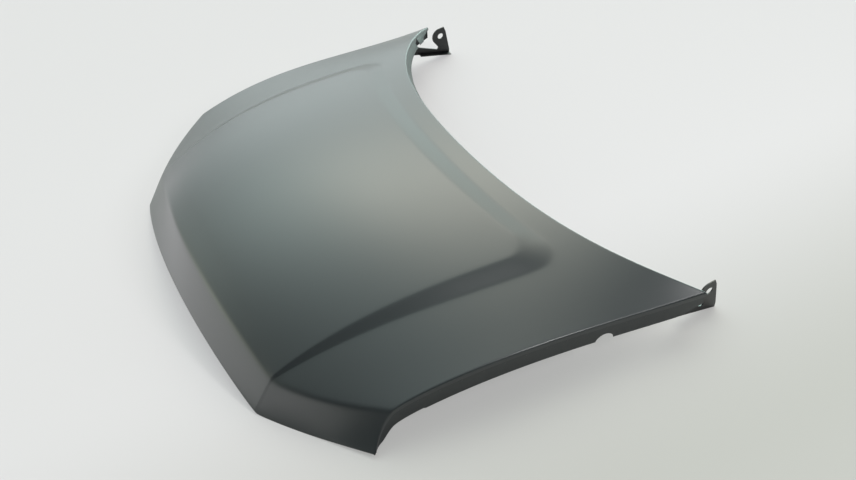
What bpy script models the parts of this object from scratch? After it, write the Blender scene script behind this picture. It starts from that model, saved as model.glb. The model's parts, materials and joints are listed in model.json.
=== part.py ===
"""Car bonnet: pressed outer skin, pressed inner frame, hinge brackets, striker and what joins them.

The frame is +X towards the car's left side, -Y towards its nose and +Z up, in metres. The bonnet lies as it
does when it is put down on a floor, on its two nose corners and the feet of its hinge brackets. Its origin is
on that floor, under the middle of the whole part. Until the last step, y is measured from the nose.
"""

import math

import bmesh
import bpy
from mathutils import Matrix, Vector
from mathutils.bvhtree import BVHTree

# Outline of the panel, seen from above
CENTRE_LENGTH = 0.810
TIP_LENGTH = 1.141
REAR_HALF_WIDTH = 0.720
REAR_CORNER_SHARE = 0.28
NOSE_HALF_WIDTH = 0.427
NOSE_SWEEP = 0.0443
FRONT_HALF_WIDTH = 0.677
HEADLAMP_SWEEP = 0.1955
HEADLAMP_BOW = 0.0153
SIDE_WAIST = 0.635
SIDE_FLARE = 0.029
SIDE_WAVE = 0.003

# Nose band and the crease above it
NOSE_DEPTH = 0.056
NOSE_DROP = 0.095
CORNER_DROP = 0.092
CREASE_SWEEP = 0.0459
CREASE_OUT_SWEEP = 0.2435
CREASE_OUT_BOW = 0.103
CREASE_SOFT = 0.006
CORNER_SOFT = 0.008

# Crown: centre heights at four sections, and how far the skin falls off at two distances from the centre
CENTRE_SECTIONS = (0.05, 0.35, 0.65, 0.95)
CENTRE_HEIGHTS = (0.171, 0.2795, 0.281, 0.260)
CROSS_SECTIONS = (0.10, 0.60, 1.10)
INNER_REACH = 0.35
INNER_FALLS = (0.0712, 0.0440, 0.0235)
OUTER_REACH_INSET = 0.070
OUTER_FALLS = (0.2054, 0.1327, 0.1162)

OUTER_REACH = REAR_HALF_WIDTH - OUTER_REACH_INSET

# Raised centre field
FIELD_REAR = 0.749
FIELD_REAR_BOW = 0.442
FIELD_REAR_HALF_WIDTH = 0.5085
FIELD_SIDE_BOW = 0.053
FIELD_RISE_REAR = 0.0115
FIELD_RISE_FRONT = 0.0027
SLOPE_WIDTH_REAR = 0.057
SLOPE_WIDTH_SIDE = 0.046
SLOPE_WIDTH_FRONT = 0.006
SLOPE_BOW = 0.031

# Corner radii and rounding of the slope's edges, as shares of the slope's width
FOOT_CORNER = 1.5
TOP_CORNER = 1.3
SLOPE_SOFT = 0.10

# Skin sheet and its turned edges
SKIN_SHEET = 0.0008
FOLD_RADIUS = 0.003
SIDE_HEM = 0.014
REAR_HEM = 0.010
FRONT_HEM = 0.010
SIDE_TUMBLE = math.radians(1)
REAR_SLANT = math.radians(28)

# Inner frame sheet
FRAME_SHEET = 0.0007
FRAME_CLEARANCE = 0.0005
EDGE_STEP = 0.003
LAND_STEP = 0.004
CHANNEL_DEPTH = 0.024
LAND_WIDTH = 0.020
WALL_WIDTH = 0.016
CENTRE_RIB_HALF = 0.018
SIDE_CHANNEL = 0.055
SIDE_WALL = 0.020
FRONT_CHANNEL = 0.052
CROSS_RIB_WIDTH = 0.040
CROSS_RIB_PLACE = 0.46
REAR_CHANNEL_LEAD = 0.010
REAR_WALL = 0.020
FRONT_INSET = 0.008
CORNER_INSET = 0.014

# Turned-down flanges of the frame
SIDE_FLANGE = 0.062
SIDE_FLANGE_FRONT = 0.058
FLANGE_STEP_AT = 0.38
FLANGE_END_LEAD = 0.066
FLANGE_END_DEPTH = 0.028
TIP_FLANGE = 0.009
SIDE_TIP_FLANGE = 0.038
NOSE_CLEARANCE = 0.009
REAR_FLANGE = 0.037
NOTCH_AT = 0.856
NOTCH_RADIUS = 0.026
NOTCH_RISE = 0.021
REAR_NOTCH_INSET = 0.105
REAR_NOTCH_WIDTH = 0.030
NOTCH_CUTTER_REACH = 0.03
REAR_CUTTER_LEAD = 0.01
REAR_CUTTER_REACH = 0.03

# Hinge brackets
BRACKET_PLATE = 0.003
BRACKET_INSET = 0.0097
EYE_BEHIND_TIP = 0.0335
EYE_Z = 0.077
EYE_HOLE_RADIUS = 0.0105
EAR_RADIUS = 0.031
EAR_PEAK_RISE = 0.032
EAR_PEAK_AT = 0.0135
EAR_STRAIGHT_TOP = 0.0145
EAR_REAR = 0.0205
LOBE_START = math.radians(108)
LOBE_END = math.radians(212)
NECK_LEAD = 0.0085
NECK_ROOT_RISE = 0.008
NECK_ROOT_RUN = 0.004
BAR_BEHIND_EYE = 0.0345
BAR_HEIGHT = 0.017
BAR_SLOPE = 0.24
BAR_FLANGE = 0.014
BAR_FRONT_LEAD = 0.051
WEB_RISE = 0.012
SEAT_INSET = 0.038
SEAT_OVERHANG = 0.0108
SEAT_WIDTH = 0.034
SEAT_LENGTH = 0.084
SEAT_CLEARANCE = 0.0003

# Fasteners
HINGE_BOLT_RADIUS = 0.004
HINGE_BOLT_SPACING = 0.046
STRIKER_BOLT_RADIUS = 0.003
STRIKER_BOLT_SPACING = 0.034
HOLE_CLEARANCE = 0.0006
DRILL_OVERRUN = 0.004
NUT_CLEARANCE = 0.0003
REINFORCEMENT = 0.002

# Proportions of a bolt and its nut, as shares of the thread's radius
BOLT_HEAD_FLAT = 1.6
BOLT_HEAD_HEIGHT = 1.2
BOLT_FLANGE_RADIUS = 2.1
BOLT_FLANGE_HEIGHT = 0.3
BOLT_END_REACH = 0.5
BOLT_POINT_RADIUS = 0.75
BOLT_POINT_LENGTH = 0.25
NUT_FLAT = 1.75
NUT_HEIGHT = 1.6

# Latch
LATCH_AT = 0.080
LATCH_LENGTH = 0.034
LATCH_WIDTH = 0.064
STRIKER_PLATE = 0.003
STRIKER_WIRE = 0.004
STRIKER_SPAN = 0.022
STRIKER_REACH = 0.034

# Mastic pads
PAD_RADIUS = 0.008
PAD_CLEARANCE = 0.0003

# How finely round shapes are divided, and how far apart the skin is measured for its slope
ROUND_SIDES = 12
EYE_SIDES = 24
PAD_SIDES = 10
LOBE_STEPS = 8
SEAT_SAMPLES = 5
BEND_STEPS = 6
SLOPE_SAMPLE = 0.004


# Curves of the skin


def ramp(distance, soft):
    """The distance where it is positive and nothing where it is negative, with a rounded corner between."""
    return 0.5 * (distance + math.hypot(distance, soft))


def through(stations, values, y):
    """The smooth curve through a value at each station."""
    total = 0.0
    for here, value in zip(stations, values):
        term = value
        for other in stations:
            if other != here:
                term *= (y - other) / (here - other)
        total += term
    return total


def swept_line(x, sweep, outer_sweep, outer_bow):
    """How far a line across the front lies behind its middle: a shallow bow, then a run swept back."""
    beyond = ramp(abs(x) - NOSE_HALF_WIDTH, CORNER_SOFT)
    share = beyond / (FRONT_HALF_WIDTH - NOSE_HALF_WIDTH)
    bow = sweep * ((abs(x) - beyond) / NOSE_HALF_WIDTH) ** 2
    return bow + (outer_sweep - outer_bow) * share + outer_bow * share**2


def front_edge(x):
    return swept_line(x, NOSE_SWEEP, HEADLAMP_SWEEP, HEADLAMP_BOW)


def crease_line(x):
    return NOSE_DEPTH + swept_line(x, CREASE_SWEEP, CREASE_OUT_SWEEP, CREASE_OUT_BOW)


def rear_edge(x):
    u = abs(x) / REAR_HALF_WIDTH
    bow = (1 - REAR_CORNER_SHARE) * u**2 + REAR_CORNER_SHARE * u**4
    return CENTRE_LENGTH + (TIP_LENGTH - CENTRE_LENGTH) * bow


def field_rear(x):
    return FIELD_REAR + FIELD_REAR_BOW * x**2


def side_half_width(v):
    """Half the panel's width, from its front corner (v = 0) to its rear tip (v = 1)."""
    flare = math.exp(-v / SIDE_FLARE)
    wave = SIDE_WAVE * math.sin(2 * math.pi * v) * (1 - flare)
    return SIDE_WAIST + (REAR_HALF_WIDTH - SIDE_WAIST) * v + (FRONT_HALF_WIDTH - SIDE_WAIST) * flare + wave


def field_side(y):
    """Half width of the raised field at y, and how far back along the field that is, from 0 to 1."""
    start = crease_line(NOSE_HALF_WIDTH)
    t = min(max((y - start) / (FIELD_REAR - start), 0.0), 1.0)
    bow = FIELD_SIDE_BOW * t * (1 - t)
    return NOSE_HALF_WIDTH + (FIELD_REAR_HALF_WIDTH - NOSE_HALF_WIDTH) * t + bow, t


def slope_width(t):
    """Width of the slope round the raised field, at a share of the field's length."""
    return SLOPE_WIDTH_FRONT + (SLOPE_WIDTH_SIDE - SLOPE_WIDTH_FRONT) * t + SLOPE_BOW * t * (1 - t)


def inside_corner(a, b, corner):
    """How far a point is inside a rounded corner, from its distances to the corner's two sides."""
    past = max(min(a, b) - corner, 0.0)
    return past + corner - math.hypot(max(corner - a, 0.0), max(corner - b, 0.0))


def field_rise(x, y):
    """How far the raised field stands up, with a straight slope from its foot to its top edge."""
    half_width, t = field_side(y)
    from_side = (half_width - abs(x)) / slope_width(t)
    from_rear = (field_rear(x) - y) / SLOPE_WIDTH_REAR
    foot = inside_corner(from_side, from_rear, FOOT_CORNER)
    top = inside_corner(from_side - 1.0, from_rear - 1.0, TOP_CORNER)
    share = foot / (foot - top)
    full = FIELD_RISE_FRONT + (FIELD_RISE_REAR - FIELD_RISE_FRONT) * math.sqrt(t)
    return full * (ramp(share, SLOPE_SOFT) - ramp(share - 1.0, SLOPE_SOFT))


def crown_height(x, y):
    inner = through(CROSS_SECTIONS, INNER_FALLS, y) / INNER_REACH**2
    outer = through(CROSS_SECTIONS, OUTER_FALLS, y) / OUTER_REACH**2
    quartic = (outer - inner) / (OUTER_REACH**2 - INNER_REACH**2)
    square = inner - quartic * INNER_REACH**2
    return through(CENTRE_SECTIONS, CENTRE_HEIGHTS, y) - square * x**2 - quartic * x**4


def raw_height(x, y):
    crease = crease_line(x)
    ahead = ramp(crease - y, CREASE_SOFT)
    drop = NOSE_DROP + (CORNER_DROP - NOSE_DROP) * abs(x) / FRONT_HALF_WIDTH
    band = drop * ahead / (crease - front_edge(x))
    return crown_height(x, y + ahead) - band + field_rise(x, y)


def side_at(y):
    """Half the panel's width at a distance behind the nose."""
    front = front_edge(FRONT_HALF_WIDTH)
    return side_half_width((y - front) / (TIP_LENGTH - front))


def hinge_seat_middle():
    """Where the hinge's seat lies in plan: in from the side, and just ahead of the frame's rear wall."""
    x = REAR_HALF_WIDTH - BRACKET_INSET - SEAT_INSET
    y = TIP_LENGTH
    for _ in range(6):
        y = rear_edge(x - 0.5 * SEAT_WIDTH) - REAR_WALL + SEAT_OVERHANG - 0.5 * SEAT_LENGTH
        x = side_at(y) - BRACKET_INSET - SEAT_INSET
    return x, y


def lowest_front():
    steps = 60
    xs = [FRONT_HALF_WIDTH * i / steps for i in range(steps + 1)]
    return min(raw_height(x, front_edge(x)) for x in xs)


FLOOR_DROP = lowest_front()

# Places that follow from the panel's rear tip and side
FLANGE_END = TIP_LENGTH - FLANGE_END_LEAD
REAR_NOTCH_AT = REAR_HALF_WIDTH - REAR_NOTCH_INSET
EYE_Y = TIP_LENGTH + EYE_BEHIND_TIP
BAR_REAR = EYE_Y + BAR_BEHIND_EYE
BAR_FRONT = TIP_LENGTH - BAR_FRONT_LEAD
SEAT_X, SEAT_Y = hinge_seat_middle()
BRACKET_X = SEAT_X + SEAT_INSET


def skin_height(x, y):
    """Height of the skin's outer face above the floor."""
    return raw_height(x, y) - FLOOR_DROP


# The grid that the skin and the frame share, so that their facets stay parallel


def spread(start, end, count):
    """The ends of count equal intervals, without the start."""
    return [start + (end - start) * (i + 1) / count for i in range(count)]


def corner_line(v):
    """Half width at v of the line from the nose corner back along the raised field's side."""
    half = NOSE_HALF_WIDTH
    for _ in range(4):
        half, _share = field_side(plan_point(half, v)[1])
    return half


def plan_point(x, v):
    share = x / side_half_width(v)
    front = front_edge(share * FRONT_HALF_WIDTH)
    rear = rear_edge(share * REAR_HALF_WIDTH)
    return x, front + (rear - front) * v


def column_lines(v):
    """Distances of the grid's columns from the centre, for one half."""
    foot = corner_line(v)
    top = foot - slope_width(field_side(plan_point(foot, v)[1])[1])
    side = side_half_width(v)
    wall = CENTRE_RIB_HALF + WALL_WIDTH
    lines = [0.0, CENTRE_RIB_HALF, wall, wall + LAND_WIDTH]
    lines += spread(lines[-1], top - WALL_WIDTH - LAND_WIDTH, 3)
    lines += [top - WALL_WIDTH, top, 0.5 * (top + foot), foot, foot + WALL_WIDTH]
    rail = side - SIDE_WALL - SIDE_CHANNEL
    room = rail - WALL_WIDTH - lines[-1]
    land = min(LAND_WIDTH, room / 4)
    lines += [lines[-1] + land]
    lines += spread(lines[-1], rail - WALL_WIDTH - land, 2)
    lines += [rail - WALL_WIDTH, rail, side - SIDE_WALL, side]
    return lines


COLUMN_DEPTHS = (
    [CHANNEL_DEPTH, CHANNEL_DEPTH, LAND_STEP, LAND_STEP, None, None]
    + [LAND_STEP, LAND_STEP, CHANNEL_DEPTH, CHANNEL_DEPTH, CHANNEL_DEPTH, LAND_STEP]
    + [LAND_STEP, None, LAND_STEP, LAND_STEP, CHANNEL_DEPTH, CHANNEL_DEPTH, EDGE_STEP]
)
COLUMN_OPEN = {3, 4, 5, 12, 13}


def column_point(index, v):
    """Place in plan of a grid column, counted from the centre, at v."""
    x, y = plan_point(column_lines(v)[abs(index)], v)
    return math.copysign(x, index) if index else 0.0, y


def cross_rib_line(offset):
    def line(x):
        start = crease_line(x)
        return start + (field_rear(x) - SLOPE_WIDTH_REAR - start) * CROSS_RIB_PLACE + offset

    return line


def behind_crease(distance):
    return lambda x: crease_line(x) + distance


def ahead_of_rear(x):
    return rear_edge(x) - REAR_WALL


def ahead_of_slope(distance):
    return lambda x: field_rear(x) - SLOPE_WIDTH_REAR - distance


def row_lines():
    """The rows behind the nose band: line across the panel, intervals up to it, frame depth, open before it."""
    half_rib = 0.5 * CROSS_RIB_WIDTH
    rib_wall = half_rib + WALL_WIDTH
    rear_wall = REAR_CHANNEL_LEAD + WALL_WIDTH
    return [
        (crease_line, 5, CHANNEL_DEPTH, False),
        (behind_crease(FRONT_CHANNEL), 1, CHANNEL_DEPTH, False),
        (behind_crease(FRONT_CHANNEL + WALL_WIDTH), 1, LAND_STEP, False),
        (behind_crease(FRONT_CHANNEL + WALL_WIDTH + LAND_WIDTH), 1, LAND_STEP, False),
        (cross_rib_line(-rib_wall - LAND_WIDTH), 3, LAND_STEP, True),
        (cross_rib_line(-rib_wall), 1, LAND_STEP, False),
        (cross_rib_line(-half_rib), 1, CHANNEL_DEPTH, False),
        (cross_rib_line(half_rib), 1, CHANNEL_DEPTH, False),
        (cross_rib_line(rib_wall), 1, LAND_STEP, False),
        (cross_rib_line(rib_wall + LAND_WIDTH), 1, LAND_STEP, False),
        (ahead_of_slope(rear_wall + LAND_WIDTH), 3, LAND_STEP, True),
        (ahead_of_slope(rear_wall), 1, LAND_STEP, False),
        (ahead_of_slope(REAR_CHANNEL_LEAD), 1, CHANNEL_DEPTH, False),
        (ahead_of_slope(0.0), 1, CHANNEL_DEPTH, False),
        (field_rear, 2, CHANNEL_DEPTH, False),
        (ahead_of_rear, 2, CHANNEL_DEPTH, False),
        (rear_edge, 1, EDGE_STEP, False),
    ]


def cross(index, line):
    """The v at which a column crosses a line, by halving."""
    low, high = 0.0, 1.0
    for _ in range(30):
        v = 0.5 * (low + high)
        x, y = column_point(index, v)
        if y < line(x):
            low = v
        else:
            high = v
    return 0.5 * (low + high)


def column_rows(index, rows):
    """The v of every row along a column."""
    values = [0.0]
    for line, count, _depth, _open in rows[:-1]:
        values += spread(values[-1], cross(index, line), count)
    return values + spread(values[-1], 1.0, rows[-1][1])


class Panel:
    """The shared grid in plan, the frame's depth at each point, and the cells that the frame leaves open."""

    def __init__(self):
        rows = row_lines()
        self.half = len(COLUMN_DEPTHS) - 1
        self.columns = range(-self.half, self.half + 1)
        half_values = [column_rows(index, rows) for index in range(self.half + 1)]
        self.values = {index: half_values[abs(index)] for index in self.columns}
        self.points = {(i, j): column_point(i, v) for i in self.columns for j, v in enumerate(self.values[i])}
        self.rows = len(half_values[0])
        self.row_depths = [EDGE_STEP]
        self.row_open = set()
        for number, (_line, count, depth, is_open) in enumerate(rows):
            if is_open:
                self.row_open |= {len(self.row_depths) - 1 + k for k in range(count)}
            start = self.row_depths[-1] if number == 0 else depth
            between = [start + (depth - start) * (k + 1) / count for k in range(count - 1)]
            self.row_depths += between + [depth]
        self.nose_rows = rows[0][1]

    def depth(self, i, j):
        if abs(i) == self.half or j == self.rows - 1:
            return EDGE_STEP
        if j <= self.nose_rows:
            return self.row_depths[j]
        return max(self.row_depths[j], COLUMN_DEPTHS[abs(i)] or 0.0)

    def cells(self):
        return [(i, j) for i in self.columns[:-1] for j in range(self.rows - 1)]

    def is_open(self, i, j):
        inner = i if i >= 0 else -i - 1
        return j in self.row_open and inner in COLUMN_OPEN

    def border(self):
        """Grid indices round the edge, anticlockwise from above, with the kind of edge at each."""
        last = self.rows - 1
        front = [((i, 0), "front") for i in self.columns]
        left = [((self.half, j), "side") for j in range(1, last)]
        rear = [((i, last), "rear") for i in reversed(self.columns)]
        right = [((-self.half, j), "side") for j in range(last - 1, 0, -1)]
        return front + left + rear + right


PANEL = Panel()


def is_corner(key):
    return abs(key[0]) == PANEL.half and key[1] in (0, PANEL.rows - 1)


def edge_directions():
    """For each border point: its place, the mitred outward direction, and the way the sheet is turned."""
    border = PANEL.border()
    plan = [Vector(PANEL.points[key]) for key, _kind in border]
    found = []
    for n, (key, kind) in enumerate(border):
        before = plan[n] - plan[n - 1]
        after = plan[(n + 1) % len(plan)] - plan[n]
        normal_a = Vector((before.y, -before.x)).normalized()
        normal_b = Vector((after.y, -after.x)).normalized()
        mitre = (normal_a + normal_b) / (1 + normal_a.dot(normal_b))
        outward = Vector((*(normal_a + normal_b).normalized(), 0.0))
        down = Vector((0.0, 0.0, -1.0))
        turns = {
            "side": down * math.cos(SIDE_TUMBLE) - outward * math.sin(SIDE_TUMBLE),
            "rear": down * math.cos(REAR_SLANT) + outward * math.sin(REAR_SLANT),
            "front": -outward,
        }
        turn = turns[kind]
        if is_corner(key):
            turn = (turn + turns["side"]).normalized()
        x, y = plan[n]
        place = Vector((x, y, skin_height(x, y)))
        found.append((key, kind, place, Vector((mitre.x, mitre.y, 0.0)), turn))
    return found


EDGES = edge_directions()


# Making objects


def clear_scene():
    for item in list(bpy.data.objects):
        bpy.data.objects.remove(item, do_unlink=True)


def material(name, colour, roughness, metallic):
    made = bpy.data.materials.new(name)
    made.use_nodes = True
    shader = made.node_tree.nodes["Principled BSDF"]
    shader.inputs["Base Color"].default_value = (*colour, 1.0)
    shader.inputs["Roughness"].default_value = roughness
    shader.inputs["Metallic"].default_value = metallic
    return made


def mesh_object(name, points, faces, finish, sharp=math.radians(30)):
    mesh = bpy.data.meshes.new(name)
    mesh.from_pydata([tuple(p) for p in points], [], faces)
    shell = bmesh.new()
    shell.from_mesh(mesh)
    bmesh.ops.recalc_face_normals(shell, faces=shell.faces)
    shell.to_mesh(mesh)
    shell.free()
    mesh.shade_smooth()
    mesh.set_sharp_from_angle(angle=sharp)
    made = bpy.data.objects.new(name, mesh)
    if finish:
        mesh.materials.append(finish)
    bpy.context.scene.collection.objects.link(made)
    return made


def helper(item):
    """Marks a cutter or a shape that is joined to another, which isn't a part by itself."""
    item.hide_render = True
    item.display_type = "WIRE"
    return item


def boolean(target, other, operation):
    change = target.modifiers.new(f"{operation.lower()} {other.name}", "BOOLEAN")
    change.operation = operation
    change.solver = "EXACT"
    change.object = helper(other)
    return change


def rings_object(name, rings, place, finish, ring_closed=False):
    """A turned or prismatic piece: rings of points from bottom to top, capped, or closed on themselves."""
    count = len(rings[0])
    points = [place @ Vector(p) for ring in rings for p in ring]
    pairs = list(zip(range(len(rings)), range(1, len(rings))))
    if ring_closed:
        pairs.append((len(rings) - 1, 0))
    faces = []
    for a, b in pairs:
        for k in range(count):
            n = (k + 1) % count
            faces.append((a * count + k, a * count + n, b * count + n, b * count + k))
    if not ring_closed:
        faces.append(tuple(range(count - 1, -1, -1)))
        faces.append(tuple(range((len(rings) - 1) * count, len(rings) * count)))
    return mesh_object(name, points, faces, finish)


def circle(radius, z, sides=ROUND_SIDES):
    step = 2 * math.pi / sides
    return [(radius * math.cos(k * step), radius * math.sin(k * step), z) for k in range(sides)]


def hexagon(flat_radius, z, sides=ROUND_SIDES):
    """A hexagon's outline as a ring of points, so that it bridges to a circle of as many."""
    ring = []
    for k in range(sides):
        angle = 2 * math.pi * k / sides
        from_flat = (angle + math.pi / 6) % (math.pi / 3) - math.pi / 6
        radius = flat_radius / math.cos(from_flat)
        ring.append((radius * math.cos(angle), radius * math.sin(angle), z))
    return ring


def block(name, low, high, place, finish=None):
    """A box between two opposite corners."""
    outline = [(low[0], low[1]), (high[0], low[1]), (high[0], high[1]), (low[0], high[1])]
    rings = [[(x, y, z) for x, y in outline] for z in (low[2], high[2])]
    return rings_object(name, rings, place, finish)


def mirrored(x_sign):
    return Matrix.Diagonal((x_sign, 1.0, 1.0, 1.0))


# Skin and frame


def surface_slope(x, y, outward):
    back = skin_height(x - outward.x * SLOPE_SAMPLE, y - outward.y * SLOPE_SAMPLE)
    return (skin_height(x, y) - back) / SLOPE_SAMPLE


def make_skin(finish):
    """One pressed sheet: the crowned panel with its border folded over and turned down."""
    index = {}
    points = []
    for key, (x, y) in PANEL.points.items():
        index[key] = len(points)
        points.append(Vector((x, y, skin_height(x, y))))
    faces = [
        (index[i, j], index[i + 1, j], index[i + 1, j + 1], index[i, j + 1]) for i, j in PANEL.cells()
    ]
    hems = {"side": SIDE_HEM, "rear": REAR_HEM, "front": FRONT_HEM}
    rings = []
    for key, kind, place, mitre, turn in EDGES:
        outward = mitre.normalized()
        slope = surface_slope(place.x, place.y, outward)
        start = place - FOLD_RADIUS * (mitre + Vector((0.0, 0.0, slope)) * mitre.length)
        end = place + FOLD_RADIUS * turn
        points[index[key]] = start
        middle = 0.25 * start + 0.5 * place + 0.25 * end
        first = len(points)
        points += [middle, end, place + hems[kind] * turn]
        rings.append((index[key], first, first + 1, first + 2))
    for n, ring in enumerate(rings):
        following = rings[(n + 1) % len(rings)]
        for k in range(len(ring) - 1):
            faces.append((ring[k], ring[k + 1], following[k + 1], following[k]))
    skin = mesh_object("outer_skin", points, faces, finish)
    add_thickness(skin, SKIN_SHEET)
    return skin


def add_thickness(sheet, thickness):
    wall = sheet.modifiers.new("sheet thickness", "SOLIDIFY")
    wall.thickness = thickness
    wall.offset = -1.0
    wall.use_even_offset = True
    wall.thickness_clamp = 1.5
    return wall


def flange_depth(kind, place):
    """How far the frame's edge is turned down at this place on the outline."""
    full = SIDE_FLANGE_FRONT if place.y < FLANGE_STEP_AT else SIDE_FLANGE
    share = max(place.y - FLANGE_END, 0.0) / (TIP_LENGTH - FLANGE_END)
    if kind == "side":
        full += (SIDE_TIP_FLANGE - full) * share
    else:
        full = REAR_FLANGE if share == 0 else FLANGE_END_DEPTH + (TIP_FLANGE - FLANGE_END_DEPTH) * share
    return max(min(full, place.z - NOSE_CLEARANCE), EDGE_STEP + FRAME_SHEET)


def make_frame(finish):
    """One pressed sheet under the skin: channels and ribs around openings, with deep flanges at the sides."""
    index = {}
    points = []
    for (i, j), (x, y) in PANEL.points.items():
        index[i, j] = len(points)
        points.append(Vector((x, y, skin_height(x, y) - PANEL.depth(i, j))))
    for i in PANEL.columns:
        x, y = column_point(i, FRONT_INSET / TIP_LENGTH)
        y = front_edge(x) + FRONT_INSET
        points[index[i, 0]] = Vector((x, y, skin_height(x, y) - EDGE_STEP))
    inset = SKIN_SHEET + FRAME_CLEARANCE
    rings = []
    for key, kind, place, mitre, turn in EDGES:
        base = place - inset * mitre
        if is_corner(key):
            base = base - CORNER_INSET * mitre.normalized()
        if is_corner(key) or kind != "front":
            points[index[key]] = base + EDGE_STEP * turn
        if is_corner(key) or kind == "front":
            rings.append((index[key],))
            continue
        deep = flange_depth(kind, place)
        first = len(points)
        points += [base + turn * (EDGE_STEP + (deep - EDGE_STEP) * share) for share in (0.5, 1.0)]
        rings.append((index[key], first, first + 1))
    faces = []
    for i, j in PANEL.cells():
        if not PANEL.is_open(i, j):
            faces.append((index[i, j], index[i + 1, j], index[i + 1, j + 1], index[i, j + 1]))
    for n, ring in enumerate(rings):
        following = rings[(n + 1) % len(rings)]
        if len(ring) == 3 and len(following) == 3:
            for k in range(2):
                faces.append((ring[k], ring[k + 1], following[k + 1], following[k]))
    faces += corner_gussets(index)
    frame = mesh_object("inner_frame", points, faces, finish)
    drop_loose_points(frame)
    add_thickness(frame, FRAME_SHEET)
    return frame


def corner_gussets(index):
    """A three-cornered web in each corner of each opening, as a pressed opening has round corners."""
    faces = []
    for i, j in PANEL.cells():
        if not PANEL.is_open(i, j):
            continue
        for di in (0, 1):
            for dj in (0, 1):
                beside = PANEL.is_open(i - 1 + 2 * di, j)
                behind = PANEL.is_open(i, j - 1 + 2 * dj)
                if not beside and not behind:
                    corner = (i + di, j + dj)
                    along = (i + 1 - di, j + dj)
                    up = (i + di, j + 1 - dj)
                    order = (corner, along, up) if di == dj else (corner, up, along)
                    faces.append(tuple(index[key] for key in order))
    return faces


def drop_loose_points(item):
    shell = bmesh.new()
    shell.from_mesh(item.data)
    loose = [point for point in shell.verts if not point.link_faces]
    bmesh.ops.delete(shell, geom=loose, context="VERTS")
    shell.to_mesh(item.data)
    shell.free()


def cut_side_notches(frame):
    """The half-round notch in the lower edge of each side flange."""
    x = side_at(NOTCH_AT)
    low = skin_height(x, NOTCH_AT) - SIDE_FLANGE
    for sign in (-1, 1):
        along_x = Matrix.Rotation(math.pi / 2, 4, "Y")
        place = Matrix.Translation((sign * x, NOTCH_AT, low + NOTCH_RISE - NOTCH_RADIUS)) @ along_x
        rings = [circle(NOTCH_RADIUS, -NOTCH_CUTTER_REACH), circle(NOTCH_RADIUS, NOTCH_CUTTER_REACH)]
        boolean(frame, rings_object(f"notch_cutter_{sign}", rings, place, None), "DIFFERENCE")


def cut_rear_notches(frame):
    """The cut-out in the rear flange ahead of each hinge."""
    x = REAR_NOTCH_AT
    y = rear_edge(x)
    heading = math.atan2(rear_edge(x + SLOPE_SAMPLE) - y, SLOPE_SAMPLE)
    half = 0.5 * REAR_NOTCH_WIDTH
    low = (-half, -REAR_CUTTER_LEAD, skin_height(x, y) - REAR_FLANGE - REAR_CUTTER_LEAD)
    high = (half, REAR_CUTTER_REACH, skin_height(x, y) - EDGE_STEP - REAR_HEM)
    for sign in (-1, 1):
        place = Matrix.Translation((sign * x, y, 0.0)) @ Matrix.Rotation(sign * heading, 4, "Z")
        boolean(frame, block(f"rear_notch_cutter_{sign}", low, high, place), "DIFFERENCE")


# Seats on the frame's channels


def channel_place(x, y):
    """A frame of axes on the channel's lower face: X across, Y along the surface and Z out of it, upwards."""
    step = SLOPE_SAMPLE
    across = Vector((2 * step, 0.0, skin_height(x + step, y) - skin_height(x - step, y))).normalized()
    along = Vector((0.0, 2 * step, skin_height(x, y + step) - skin_height(x, y - step))).normalized()
    up = across.cross(along).normalized()
    along = up.cross(across)
    origin = Vector((x, y, skin_height(x, y) - CHANNEL_DEPTH))
    turn = Matrix((across, along, up)).transposed().to_4x4()
    return Matrix.Translation(origin) @ turn


class Seat:
    """A flat seat on the frame, with the heights along its own Z of the plates clamped to the sheet."""

    def __init__(self, frame_tree, x, y, width, length, plate):
        self.place = channel_place(x, y)
        self.half_width = 0.5 * width
        self.half_length = 0.5 * length
        lower, upper = self.sheet_heights(frame_tree)
        self.plate_top = min(lower) - SEAT_CLEARANCE
        self.plate_bottom = self.plate_top - plate
        self.reinforcement_bottom = max(upper) + SEAT_CLEARANCE
        self.reinforcement_top = self.reinforcement_bottom + REINFORCEMENT

    def sheet_heights(self, frame_tree):
        """Heights of the sheet's lower and upper face at points all over the seat."""
        up = self.place.to_3x3() @ Vector((0.0, 0.0, 1.0))
        steps = [k / SEAT_SAMPLES for k in range(-SEAT_SAMPLES, SEAT_SAMPLES + 1)]
        lower, upper = [], []
        for a in steps:
            for b in steps:
                spot = self.place @ Vector((a * self.half_width, b * self.half_length, 0.0))
                below, *_rest = frame_tree.ray_cast(spot - CHANNEL_DEPTH * up, up)
                above, *_rest = frame_tree.ray_cast(spot + CHANNEL_DEPTH * up, -up)
                lower.append((below - spot).dot(up))
                upper.append((above - spot).dot(up))
        return lower, upper


def hinge_bolt_spots():
    return [(0.0, sign * 0.5 * HINGE_BOLT_SPACING) for sign in (-1, 1)]


def striker_bolt_spots():
    return [(sign * 0.5 * STRIKER_BOLT_SPACING, 0.0) for sign in (-1, 1)]


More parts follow.
